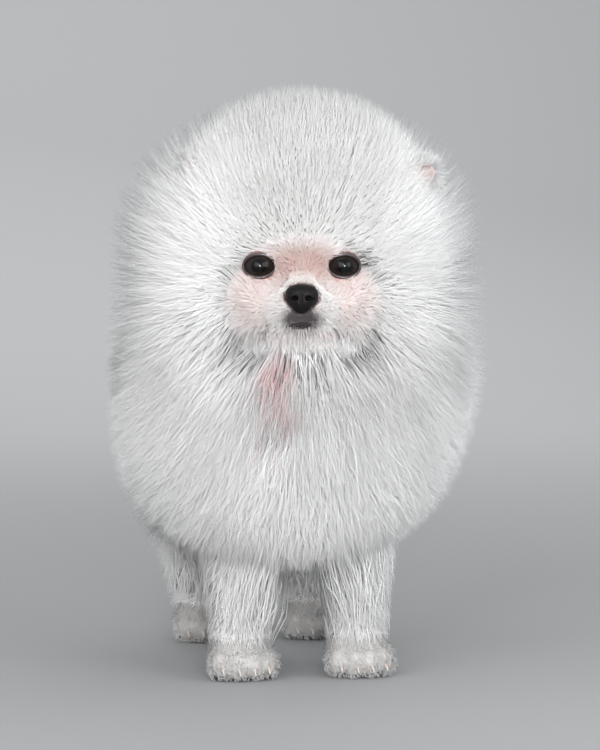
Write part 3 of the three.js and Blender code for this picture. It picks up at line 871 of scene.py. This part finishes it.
def makeEyes():
    gloss = eyeMaterial()
    for side, word in ((1, "left"), (-1, "right")):
        front, across, up = eyeAxes(side)
        bpy.ops.mesh.primitive_uv_sphere_add(segments=48, ring_count=32, radius=head["eyeRadius"])
        ball = bpy.context.active_object
        ball.name = "eyeball_" + word
        co = points(ball)
        co = co[:, :1] * across + co[:, 1:2] * up + co[:, 2:] * front
        facing = (co @ front) / head["eyeRadius"]
        bulge = np.clip((facing - eye["bulgeFrom"]) / (1 - eye["bulgeFrom"]), 0, 1) ** 2
        co += front * (eye["bulge"] * bulge)[:, None]
        setPoints(ball, turned(co + eyeMiddle(side)) + shift)
        ring = ball.data.attributes.new("ring", "FLOAT", "POINT")
        ring.data.foreach_set("value", np.sqrt(np.clip(1 - facing ** 2, 0, 1)) + (facing < 0))
        activate(ball)
        bpy.ops.object.shade_smooth()
        dress(ball, gloss, "eye", "eye_" + word)


lid = {
    "around": 56,
    "rings": 8,
    "upper": 1.02,
    "lower": 0.94,
    "corner": 1.15,  # more than 1 gives the opening pointed corners
    "back": math.radians(104),
    "rim": 0.0007,
    "sinkFrom": 0.16,
    "sink": 0.0040,
    "wall": 0.0005,
    "edgeColour": (0.030, 0.020, 0.021),
}


def lidPoints(side, turn, along):
    # from the edge of the opening over a rolled rim and back under the skin
    front, across, up = eyeAxes(side)
    share = np.where(np.sin(turn) > 0, lid["upper"], lid["lower"])
    x = eye["halfWidth"] * np.cos(turn)
    y = eye["halfHeight"] * share * np.sign(np.sin(turn)) * np.abs(np.sin(turn)) ** lid["corner"]
    edge = np.arcsin(np.clip(np.hypot(x, y) / head["eyeRadius"], 0, 0.99))
    polar = edge + along * (lid["back"] - edge)
    spread = np.arctan2(y, x)
    rolled = lid["rim"] * (0.4 + 1.1 * np.sin(np.clip(along * 7, 0, 1) * math.pi / 2))
    radius = head["eyeRadius"] + rolled - lid["sink"] * np.clip(along - lid["sinkFrom"], 0, 0.6)
    local = (np.sin(polar) * np.cos(spread) * radius)[:, None] * across
    local = local + (np.sin(polar) * np.sin(spread) * radius)[:, None] * up
    return local + (np.cos(polar) * radius)[:, None] * front


def makeLids():
    lids = []
    for side in (1, -1):
        bpy.ops.mesh.primitive_cylinder_add(
            vertices=lid["around"], radius=1, depth=1, end_fill_type="NOTHING")
        piece = bpy.context.active_object
        bpy.ops.object.mode_set(mode="EDIT")
        bpy.ops.mesh.select_all(action="SELECT")
        bpy.ops.mesh.subdivide(number_cuts=lid["rings"], quadcorner="INNERVERT")
        bpy.ops.object.mode_set(mode="OBJECT")
        co = points(piece)
        along = co[:, 2] + 0.5
        local = lidPoints(side, np.arctan2(co[:, 1], co[:, 0]), along)
        setPoints(piece, turned(local + eyeMiddle(side)) + shift)
        # dark at the edge, then pink, then the colour of the cheeks: the rim's own dark and pink, with the
        # dark band widened as painted shade of the socket
        colours = np.tile(np.array(lid["edgeColour"]), (len(co), 1))
        colours = mixed(colours, marks["browPink"], np.clip((along - 0.13) * 7, 0, 1))
        colours = mixed(colours, marks["cheekPink"], np.clip((along - 0.3) * 3, 0, 1))
        addTint(piece, colours)
        lids.append(piece)
    lids = joinPieces(lids, "lids")
    bpy.ops.object.mode_set(mode="EDIT")
    bpy.ops.mesh.select_all(action="SELECT")
    bpy.ops.mesh.remove_doubles(threshold=1e-6)
    bpy.ops.object.mode_set(mode="OBJECT")
    faceOutwards(lids)
    applyModifier(lids, "wall", "SOLIDIFY", thickness=lid["wall"], offset=-1)
    bpy.ops.object.shade_smooth()
    dress(lids, lidMaterial, "coat")


makeEyes()
makeLids()
print("eyes and lids")


def makeNose():
    # a ball whose points are moved along their rays to the form of the nose
    bpy.ops.mesh.primitive_uv_sphere_add(segments=96, ring_count=64, radius=1)
    piece = bpy.context.active_object
    piece.name = "noseTip"
    ray = points(piece)
    middle = np.array(nose["middle"])
    low, high = np.zeros(len(ray)), np.full(len(ray), nose["reach"])
    for _ in range(nose["halvings"]):
        half = (low + high) / 2
        inside = noseDistance(middle + ray * half[:, None]) < 0
        low, high = np.where(inside, half, low), np.where(inside, high, half)
    co = middle + ray * low[:, None]
    facing = np.clip(-ray[:, 1], 0, 1)
    for side in (1, -1):
        mirror = np.array((side, 1, 1))
        hole = (co - np.array(nose["holeAt"]) * mirror) / np.array(nose["holeHalf"])
        deep = np.exp(-2.2 * (hole[:, 0] ** 2 + hole[:, 2] ** 2) ** 1.5)
        slit = (co - np.array(nose["slitAt"]) * mirror) / np.array(nose["slitHalf"])
        deep = deep + 0.5 * np.exp(-2 * (slit[:, 0] ** 2 + slit[:, 2] ** 2))
        co[:, 1] += nose["depth"] * np.minimum(deep, 1) * (facing > 0.2)
    groove = np.exp(-((co[:, 0] / nose["grooveHalf"]) ** 2)) * (co[:, 2] < nose["grooveTop"]) * facing
    co[:, 1] += nose["grooveDepth"] * groove
    setPoints(piece, turned(co) + shift)
    bpy.ops.object.shade_smooth()
    dress(piece, noseMaterial, "nose_leather", "nose")


makeNose()
print("nose")


def skinTree():
    corners = [v.co for v in skin.data.vertices]
    return BVHTree.FromPolygons(corners, [p.vertices for p in skin.data.polygons])


tree = skinTree()
castFrom = 0.12


def onSkin(origin, aim):
    origin = Vector(origin)
    ray = (Vector(aim) - origin).normalized()
    return tree.ray_cast(origin + ray * castFrom, (origin - Vector(aim)).normalized())[0]


# lips: two soft rolls along the mouth, dark in the middle and pink towards the corners
def mouthPath(dz):
    heart = turned(np.array(head["faceHeart"])) + shift
    found = []
    for i in range(mouth["steps"] + 1):
        t = i / mouth["steps"] * 2 - 1
        x = mouth["half"] * t * (1 + mouth["bulge"] - mouth["bulge"] * t * t)
        z = head["mouthZ"] - mouth["drop"] * abs(t) * (1 - abs(t)) + mouth["lift"] * t * t + dz
        y = mouth["frontY"] + mouth["cornerBack"] * t * t
        place = onSkin(heart, turned(np.array([x, y, z])) + shift)
        if place is not None:
            found.append((t, place))
    return found


def makeLips():
    rolls = []
    for dz in mouth["rollHeights"]:
        path = mouthPath(dz)
        bpy.ops.curve.primitive_nurbs_path_add(location=(0, 0, 0))
        line = bpy.context.active_object.data
        line.splines.clear()
        line.bevel_depth = mouth["roll"]
        line.bevel_resolution = mouth["rollBevel"]
        line.use_fill_caps = True
        spline = line.splines.new("POLY")
        spline.points.add(len(path) - 1)
        for point, (t, place) in zip(spline.points, path):
            point.co = (*place, 1)
            point.radius = mouth["rollFull"] * (1 - abs(t)) ** 0.5 + mouth["rollEnd"]
        bpy.ops.object.convert(target="MESH")
        rolls.append(bpy.context.active_object)
    lips = joinPieces(rolls, "lips")
    aside = np.abs(unturned(points(lips) - shift)[:, 0])
    colours = np.tile(np.array(marks["lipDark"]), (len(aside), 1))
    for pink, start, over in mouth["pinks"]:
        colours = mixed(colours, pink, np.clip((aside - start) / over, 0, 1))
    addTint(lips, colours)
    bpy.ops.object.shade_smooth()
    dress(lips, lipMaterial, "coat")


makeLips()
print("lips")


# ears: small thin cups, open to the front and side
ear = {
    "base": (0.028, -0.062, 0.222),
    "tips": {1: (0.061, -0.071, 0.2395), -1: (0.054, -0.071, 0.2425)},
    "front": (0.55, -0.82, -0.1),
    "half": 0.0112,
    "blunt": 0.012,
    "cup": 0.0055,
    "flatten": 0.55,
    "wall": 0.0012,
    "root": -0.2,
    "rootShare": 0.85,
    "end": 0.985,
}


def earAxes(side):
    base = np.array(ear["base"]) * np.array([side, 1, 1])
    tip = np.array(ear["tips"][side]) * np.array([side, 1, 1])
    axis = normalised(tip - base)
    front = np.array(ear["front"]) * np.array([side, 1, 1])
    across = normalised(np.cross(front, axis))
    outward = normalised(np.cross(axis, across))
    return base, axis, np.linalg.norm(tip - base), across, outward


def earPlaces(side, s, t):
    # s runs across the cup, and t from the base of the ear to its tip
    base, axis, reach, across, outward = earAxes(side)
    half = ear["half"] * np.sqrt(np.maximum(ear["blunt"], 1 - t * t)) * np.where(t < 0, ear["rootShare"], 1)
    bow = ear["cup"] * (1 - ear["flatten"] * t) * (s * s - 1)
    return base + axis * (t * reach)[:, None] + across * (half * s)[:, None] + outward * bow[:, None]


def makeEars():
    for side, word in ((1, "left"), (-1, "right")):
        bpy.ops.mesh.primitive_grid_add(x_subdivisions=14, y_subdivisions=20, size=2)
        piece = bpy.context.active_object
        piece.name = "earCup_" + word
        co = points(piece)
        t = ear["root"] + (co[:, 1] + 1) / 2 * (ear["end"] - ear["root"])
        setPoints(piece, turned(earPlaces(side, co[:, 0], t)) + shift)
        applyModifier(piece, "wall", "SOLIDIFY", thickness=ear["wall"], offset=0)
        applyModifier(piece, "soft", "SUBSURF", levels=1, render_levels=1)
        faceOutwards(piece)
        bpy.ops.object.shade_smooth()
        dress(piece, earMaterial, "ear_skin", "ear_" + word)


makeEars()


# pads under the feet, flat where they meet the floor, and claws among the fur
pad = {
    "middleBack": 0.001,
    "middleZ": 0.0034,
    "middle": (0.0085, 0.0072, 0.0042),
    "toeBack": 0.0016,
    "toeZ": 0.0028,
    "toe": (0.0034, 0.0042, 0.0030),
}
clawForm = {
    "length": 0.0062,
    "rootRadius": 0.0011,
    "tipRadius": 0.0002,
    "ahead": 0.0062,
    "reach": 0.0056,
    "below": 0.0008,
    "drop": 0.0022,
}


def makePads():
    eggs = []
    for x, y in footPlaces():
        eggs.append(addEgg((x, y + pad["middleBack"], pad["middleZ"], *pad["middle"]), segments=24, rings=14))
    for x, y, _ in toePlaces():
        eggs.append(addEgg((x, y + pad["toeBack"], pad["toeZ"], *pad["toe"]), segments=16, rings=10))
    pads = joinPieces(eggs, "pads")
    co = points(pads)
    co[:, 2] = np.maximum(co[:, 2], 0.0)
    setPoints(pads, co)
    bpy.ops.object.shade_smooth()
    dress(pads, padMaterial, "nose_leather")


def makeClaws():
    claws = []
    for x, y, z in toePlaces():
        bpy.ops.mesh.primitive_cone_add(
            vertices=10, radius1=clawForm["rootRadius"], radius2=clawForm["tipRadius"],
            depth=clawForm["length"])
        claw = bpy.context.active_object
        bpy.ops.object.mode_set(mode="EDIT")
        bpy.ops.mesh.select_all(action="SELECT")
        bpy.ops.mesh.subdivide(number_cuts=4)
        bpy.ops.object.mode_set(mode="OBJECT")
        co = points(claw)
        along = co[:, 2] / clawForm["length"] + 0.5
        forward = y - clawForm["ahead"] - along * clawForm["reach"]
        high = z - clawForm["below"] - clawForm["drop"] * along ** 2 + co[:, 1]
        setPoints(claw, np.stack([co[:, 0] + x, forward, high], -1) + shift)
        claws.append(claw)
    claws = joinPieces(claws, "claws")
    faceOutwards(claws)
    bpy.ops.object.shade_smooth()
    dress(claws, clawMaterial, "nose_leather")


makePads()
makeClaws()
print("ears, pads and claws")


# the coat: curved tufts of hair rooted on the skin, that reach to the outline of the coat.
# For each kind: number, how far it stands up, shortest hair and, where it reaches for the
# outline, longest hair, then tuft width, unevenness of direction, spread of length and how
# much the tips draw together
kinds = {
    "face": {"count": 20000, "stand": 0.40, "shortest": 0.0028, "width": 0.00026,
             "jitter": 0.22, "spread": 0.35, "clump": 0.0},
    "head": {"count": 38000, "stand": 2.2, "longest": 0.074, "shortest": 0.006, "width": 0.00027,
             "jitter": 0.34, "spread": 0.16, "clump": 0.08},
    "ruff": {"count": 44000, "stand": 1.8, "longest": 0.088, "shortest": 0.008, "width": 0.00034,
             "jitter": 0.34, "spread": 0.17, "clump": 0.34},
    "trunk": {"count": 20000, "stand": 1.1, "longest": 0.070, "shortest": 0.010, "width": 0.00048,
              "jitter": 0.28, "spread": 0.26, "clump": 0.45},
    "tail": {"count": 7000, "stand": 0.75, "longest": 0.050, "shortest": 0.010, "width": 0.00046,
             "jitter": 0.24, "spread": 0.20, "clump": 0.25},
    "leg": {"count": 12000, "stand": 0.75, "longest": 0.026, "shortest": 0.006, "width": 0.00030,
            "jitter": 0.30, "spread": 0.28, "clump": 0.30},
    "foot": {"count": 7000, "stand": 0.55, "shortest": 0.0046, "width": 0.00040,
             "jitter": 0.25, "spread": 0.30, "clump": 0.0},
}
perPiece = 19000
# where no hair grows: off the opening of the eye (root, tip, middle), on the nose, along the
# mouth and on the dark of the lips under the nose
bare = {
    "eyeMargins": (0.0005, 0.0002, 0.0003),
    "nose": 0.0009,
    "mouthFrom": 0.007,
    "mouthBand": (-0.0006, 0.0022),
    "mouthShare": 0.75,
    "lipZ": 0.1735,
    "lipHalf": (0.0050, 0.0042),
    "lipBack": -0.106,
}


def skinSurface():
    mesh = skin.data
    mesh.calc_loop_triangles()
    count = len(mesh.loop_triangles)
    corners = np.empty(count * 3, dtype=np.int32)
    mesh.loop_triangles.foreach_get("vertices", corners)
    loops = np.empty(count * 3, dtype=np.int32)
    mesh.loop_triangles.foreach_get("loops", loops)
    uv = np.empty(len(mesh.loops) * 2)
    mesh.uv_layers["OFBake"].uv.foreach_get("vector", uv)
    normals = np.empty(len(mesh.vertices) * 3)
    mesh.vertices.foreach_get("normal", normals)
    co = points(skin) - shift
    corners, loops = corners.reshape(-1, 3), loops.reshape(-1, 3)
    return co[corners], normals.reshape(-1, 3)[corners], uv.reshape(-1, 2)[loops]


surface = skinSurface()


def scatter(count, weigh):
    corners, normals, uvs = surface
    area = np.linalg.norm(np.cross(corners[:, 1] - corners[:, 0], corners[:, 2] - corners[:, 0]), axis=1)
    weight = area * weigh(corners.mean(1), normalised(normals.mean(1)))
    chosen = rng.choice(len(area), size=count, p=weight / weight.sum())
    a, b = rng.random(count), rng.random(count)
    over = a + b > 1
    a, b = np.where(over, 1 - a, a), np.where(over, 1 - b, b)
    bary = np.stack([1 - a - b, a, b], -1)
    place = (corners[chosen] * bary[..., None]).sum(1)
    normal = normalised((normals[chosen] * bary[..., None]).sum(1))
    uv = (uvs[chosen] * bary[..., None]).sum(1)
    return place, normal, uv


def reachAlong(place, aim, form, longest, step=0.0016):
    reach = np.zeros(len(place))
    going = np.ones(len(place), bool)
    for _ in range(int(longest / step)):
        index = np.nonzero(going)[0]
        if len(index) == 0:
            break
        inside = form(place[index] + aim[index] * (reach[index] + step)[:, None]) < 0
        reach[index[inside]] += step
        going[index[~inside]] = False
    return reach


def nearEye(p, margin):
    q = unturned(p)
    near = np.zeros(len(p), bool)
    for side in (1, -1):
        front, across, up = eyeAxes(side)
        away = q - eyeMiddle(side)
        wide = (away @ across) / (eye["halfWidth"] + margin)
        high = (away @ up) / (eye["halfHeight"] + margin)
        near |= (wide ** 2 + high ** 2 < 1) & (away @ front > 0)
    return near


def tangent(lie, normal):
    return normalised(lie - normal * (lie * normal).sum(1)[:, None])


def same(p, x, y, z):
    return np.tile(np.array([x, y, z], float), (len(p), 1))


def lieFor(kind, p):
    heart = turned(np.array(head["faceHeart"]))
    if kind == "face":
        return normalised(p - turned(np.array(head["noseCentre"]))) + same(p, 0, 0.5, 0.15)
    if kind in ("head", "ruff"):
        # rays round the face: up and out behind the head, drooping on the chest
        lift = np.clip((p[:, 2] - 0.168) / 0.034, 0, 1)
        lie = normalised(p - heart)
        lie[:, 1] = lie[:, 1] * (1 - (0.8 if kind == "ruff" else 0.2) * lift)
        lie[:, 2] = lie[:, 2] - 0.55 * (1 - lift) + 0.5 * lift
        # beside the cheeks and the chin the hair comes forward
        near = np.clip(2.0 - np.linalg.norm(p - heart, axis=1) / 0.024, 0, 1)
        below = 1 - np.clip((p[:, 2] - 0.197) / 0.010, 0, 1)
        lie[:, 1] -= 1.2 * near * below * np.clip(0.4 + np.abs(p[:, 0]) / 0.030, 0, 1)
        return lie
    if kind == "trunk":
        return np.stack([p[:, 0] * 2, np.full(len(p), 1.0), np.full(len(p), -0.55)], -1)
    if kind == "tail":
        return np.stack([np.sign(p[:, 0]) * 0.9, np.full(len(p), -0.35), np.full(len(p), 0.1)], -1)
    if kind == "foot":
        return same(p, 0, -1, -0.35)
    return same(p, 0, 0.25, -1)


def densityOf(kind, centre, normal):
    # more roots where the coat spreads out to a large surface
    if kind == "head":
        above, ahead = np.clip(normal[:, 2], 0, 1), np.clip(-normal[:, 1], 0, 1)
        return 1 + 1.6 * above + 1.2 * ahead + 1.8 * np.abs(normal[:, 0])
    if kind == "ruff":
        return 1 + 1.0 * np.clip(-normal[:, 1], 0, 1) + 1.4 * np.abs(normal[:, 0])
    return np.ones(len(centre))


def curveAt(roots, middle, tips, t):
    return (1 - t) ** 2 * roots + 2 * t * (1 - t) * middle + t * t * tips


def tuftMesh(name, roots, middle, tips, widths, normals, shade, uv, colours):
    # each tuft is a closed three-sided blade: a ring at its root, one at its middle, and its tip
    count = len(roots)
    rings = []
    for t, wide in ((0.0, 0.8), (0.62, 1.0)):
        at = curveAt(roots, middle, tips, t)
        along = normalised((1 - t) * (middle - roots) + t * (tips - middle))
        across = np.cross(along, normals)
        weak = np.linalg.norm(across, axis=1) < 1e-3
        across[weak] = np.array([1.0, 0, 0])
        across = normalised(across)
        over = np.cross(across, along)
        half = widths * wide / 2
        rings.append(at - across * half[:, None] - over * (half * 0.4)[:, None])
        rings.append(at + across * half[:, None] - over * (half * 0.4)[:, None])
        rings.append(at + over * (half * 0.8)[:, None])
    co = np.stack(rings + [tips], 1) + shift
    co[:, :, 2] = np.maximum(co[:, :, 2], 0.0004)
    faces = [(0, 1, 2)]
    for i in range(3):
        j = (i + 1) % 3
        faces += [(i, 3 + j, j), (i, 3 + i, 3 + j), (3 + i, 6, 3 + j)]
    faces = np.array(faces)
    index = (faces[None] + 7 * np.arange(count)[:, None, None]).reshape(-1, 3)
    mesh = bpy.data.meshes.new(name)
    mesh.vertices.add(count * 7)
    mesh.vertices.foreach_set("co", co.astype(np.float32).ravel())
    mesh.loops.add(index.size)
    mesh.loops.foreach_set("vertex_index", index.astype(np.int32).ravel())
    mesh.polygons.add(len(index))
    mesh.polygons.foreach_set("loop_start", np.arange(0, index.size, 3, dtype=np.int32))
    mesh.polygons.foreach_set("loop_total", np.full(len(index), 3, dtype=np.int32))
    mesh.update(calc_edges=True)
    # the tuft's patch, 0.003 across, at its root's place on the unwrap of the skin
    patch = np.array([(i % 3, i // 3) for i in range(6)] + [(1, 2)]) / 2.0 - 0.5
    spots = np.clip(uv, 0.002, 0.998)[:, None, :] + patch[None] * 0.003
    layer = mesh.uv_layers.new(name="OFBake")
    layer.uv.foreach_set("vector", spots.reshape(-1, 2)[index.ravel()].astype(np.float32).ravel())
    piece = bpy.data.objects.new(name, mesh)
    scene.collection.objects.link(piece)
    addTint(piece, colours.reshape(-1, 3))
    mesh.polygons.foreach_set("use_smooth", np.ones(len(index), bool))
    mesh.normals_split_custom_set_from_vertices(np.repeat(shade, 7, axis=0))
    dress(piece, furMaterial, "coat")
    return piece


def outlineNormal(p, form):
    step = 0.002
    out = np.zeros_like(p)
    for axis in range(3):
        d = np.zeros(3)
        d[axis] = step
        out[:, axis] = form(p + d) - form(p - d)
    return normalised(out)


def clumped(tips, reach, share):
    # tips of neighbouring tufts are drawn together
    chosen = rng.choice(len(tips), size=len(tips) // 24, replace=False)
    centres = tips[chosen]
    kd = KDTree(len(centres))
    for i, c in enumerate(centres):
        kd.insert(c, i)
    kd.balance()
    near = np.array([kd.find(t)[1] for t in tips])
    gap = centres[near] - tips
    far = np.linalg.norm(gap, axis=1)
    pull = share * rng.uniform(0.3, 1.6, len(tips)) * np.clip(1 - far / (0.5 * reach + 1e-6), 0, 1)
    return tips + gap * np.minimum(pull, 0.9)[:, None]


def parted(roots, middle, tips):
    # tufts that would hang over a parting end in it
    for centre, radii in partings["places"]:
        cut = np.ones((len(roots), 1))
        for t in np.linspace(*partings["cuts"]):
            away = (curveAt(roots, middle, tips, t) - np.array(centre)) / np.array(radii)
            inside = (np.linalg.norm(away, axis=1) < 1) & (rng.random(len(roots)) < partings["chance"])
            cut[inside] = t
        tips, middle = curveAt(roots, middle, tips, cut), roots + (middle - roots) * cut
    return middle, tips


def faceHair(q, lie, stand, shortest):
    # short round the nose and longer towards the edge of the face and under the chin
    far = np.linalg.norm(q - np.array(head["noseCentre"]), axis=1)
    edge = np.clip((far - 0.022) / 0.020, 0, 1)
    side = np.clip((np.hypot(q[:, 0], q[:, 2] - 0.182) - 0.007) / 0.008, 0, 1)
    chin = np.clip((0.171 - q[:, 2]) / 0.005, 0, 1) * (q[:, 1] < -0.085)
    shortest = shortest + 0.0022 * side + 0.0070 * edge ** 1.5 + 0.006 * chin
    stand = stand + 0.7 * edge + 0.3 * chin
    return lie * (1 - chin)[:, None] + same(q, 0, -0.3, -1) * chin[:, None], stand, shortest


def isGrown(kind, q, roots, tips):
    atRoot, atTip, atMiddle = bare["eyeMargins"]
    keep = ~(nearEye(roots, atRoot) | nearEye(tips, atTip) | nearEye((roots + tips) / 2, atMiddle))
    keep &= noseDistance(q) > bare["nose"]
    if kind == "face":
        # hair is thin along the line of the mouth, where the lips show pink
        line = q[:, 2] - mouthHeight(q[:, 0])
        aside = np.abs(q[:, 0])
        below, above = bare["mouthBand"]
        onLine = (line > below) & (line < above) & (aside > bare["mouthFrom"]) & (aside < mouth["half"])
        keep &= ~(onLine & (rng.random(len(q)) < bare["mouthShare"]))
    wide, high = bare["lipHalf"]
    offLip = np.hypot(q[:, 0] / wide, (q[:, 2] - bare["lipZ"]) / high)
    return keep & (offLip + 9 * (q[:, 1] > bare["lipBack"]) > 1)


def roundNormal(p, centre, radii):
    return normalised((p - np.array(centre)) / np.array(radii) ** 2)


def shadingOf(kind, roots, tips):
    # tufts are shaded mostly like the outline that they make together
    if kind in ("face", "head"):
        outer = roundNormal(tips, turned(np.array(head["puffCentre"])), head["puffRadii"])
    else:
        outer = outlineNormal(tips, wholeCoat)
    if kind == "ruff":
        outer = normalised(outer * 0.35 + roundNormal(tips, body["ruffCentre"], body["ruffRadii"]))
    if kind in ("head", "ruff"):
        outer[:, 1] -= 0.35 * np.clip(-(tips[:, 1] + 0.02) / 0.03, 0, 1)
        outer = normalised(outer)
    hair = normalised(tips - roots)
    return normalised(outer * 0.8 + normalised(np.cross(np.cross(hair, outer), hair)) * 0.3)


def rootColours(kind, roots, tips, reach):
    count = len(roots)
    # painted shade: the fur of the feet is all grey
    if kind == "foot":
        return np.tile(np.array(marks["foot"]), (count, 1))
    white = np.tile(np.array(marks["white"]), (count, 1))
    marked = markingsAndShadeAt(roots, "creamy" if kind == "face" else "white")
    fade = np.clip(1.6 - reach / 0.009, 0, 1)[:, None]
    base = marked * fade + white * (1 - fade)
    if kind == "head":
        # painted shade: the top of the head is made darker than the sides
        share = np.clip(1 - (np.abs(tips[:, 0]) - 0.030) / 0.035, 0, 1)
        paintedShade = np.array(marks["crown"]) / np.array(marks["white"])
        base = base * mixed(np.ones((count, 3)), paintedShade, share)
    return base


def growKind(kind):
    values = kinds[kind]
    count = values["count"]
    roots, normals, uv = scatter(count, lambda p, normal: (regionOf(p) == kind) * densityOf(kind, p, normal))
    q = unturned(roots)
    lie = lieFor(kind, roots)
    stand = np.full(count, values["stand"])
    shortest = np.full(count, values["shortest"])
    if kind == "face":
        lie, stand, shortest = faceHair(q, lie, stand, shortest)
    lie = tangent(lie, normals) + rng.normal(0, values["jitter"], (count, 3))
    aim = normalised(normals * stand[:, None] + lie)
    reach = shortest
    if "longest" in values:
        reach = np.maximum(reachAlong(roots, aim, wholeCoat, values["longest"]), shortest)
    reach = reach * (1.0 - values["spread"] * rng.random(count) ** 1.6)
    tips = roots + aim * reach[:, None]
    if values["clump"]:
        tips = clumped(tips, reach, values["clump"])
    middle = roots + normals * (reach * 0.42)[:, None] + aim * (reach * 0.12)[:, None]
    middle = middle + rng.normal(0, 0.06, (count, 3)) * reach[:, None]
    if kind == "ruff":
        middle, tips = parted(roots, middle, tips)
    keep = isGrown(kind, q, roots, tips)
    roots, normals, uv, tips, middle, reach = (v[keep] for v in (roots, normals, uv, tips, middle, reach))
    count = len(roots)
    shade = shadingOf(kind, roots, tips)
    widths = values["width"] * rng.uniform(0.75, 1.25, count)
    base = rootColours(kind, roots, tips, reach)
    half = (roots + 2 * middle + tips) / 4
    # the middles and tips near a parting take its pink and painted shade
    rings = np.repeat(np.stack([base, partingTint(base, half)], 1), 3, axis=1)
    colours = np.concatenate([rings, partingTint(base, tips)[:, None]], 1)
    colours = colours * rng.uniform(0.96, 1.02, (count, 1, 1))
    order = np.argsort(roots[:, 2])
    pieces = math.ceil(count / perPiece)
    for i, part in enumerate(np.array_split(order, pieces)):
        name = "coat_" + kind + ("_" + str(i + 1) if pieces > 1 else "")
        tuftMesh(name, roots[part], middle[part], tips[part], widths[part], normals[part],
                 shade[part], uv[part], colours[part])
    print("coat", kind, count)


for kind in kinds:
    growKind(kind)


earHair = {
    "count": 1800,
    "width": 0.00034,
    "outer": 0.0065,
    "inner": 0.0075,
    "innerShare": 0.35,
    "innerFrom": 0.35,
    "jitter": 0.15,
    "bow": 0.0014,
}


def growEars():
    heart = turned(np.array(head["puffCentre"]))
    for side, word in ((1, "left"), (-1, "right")):
        _, axis, _, across, outward = earAxes(side)
        count = earHair["count"]
        s = rng.uniform(-1, 1, count)
        t = rng.uniform(0.0, 0.97, count)
        roots = earPlaces(side, s, t)
        inner = (rng.random(count) < earHair["innerShare"]) & (np.abs(s) > earHair["innerFrom"])
        normals = np.where(inner[:, None], outward, -outward) * np.ones((count, 1))
        length = np.where(inner, earHair["inner"], earHair["outer"]) * rng.uniform(0.6, 1.3, count)
        uneven = rng.normal(0, earHair["jitter"], (count, 3))
        aim = normalised(axis * 0.9 + across * (0.9 * s)[:, None] + normals * 0.5 + uneven)
        tips = roots + aim * length[:, None]
        middle = (roots + tips) / 2 + normals * earHair["bow"]
        roots, tips, middle = turned(roots), turned(tips), turned(middle)
        uv = np.stack([0.26 + 0.22 * s + 0.48 * inner, 0.03 + 0.94 * t], -1)
        colours = np.tile(np.array(marks["white"]), (count, 7, 1))
        tuftMesh("coat_ear_" + word, roots, middle, tips, np.full(count, earHair["width"]), normals,
                 normalised(tips - heart), uv, colours)


growEars()
print("coat grown")
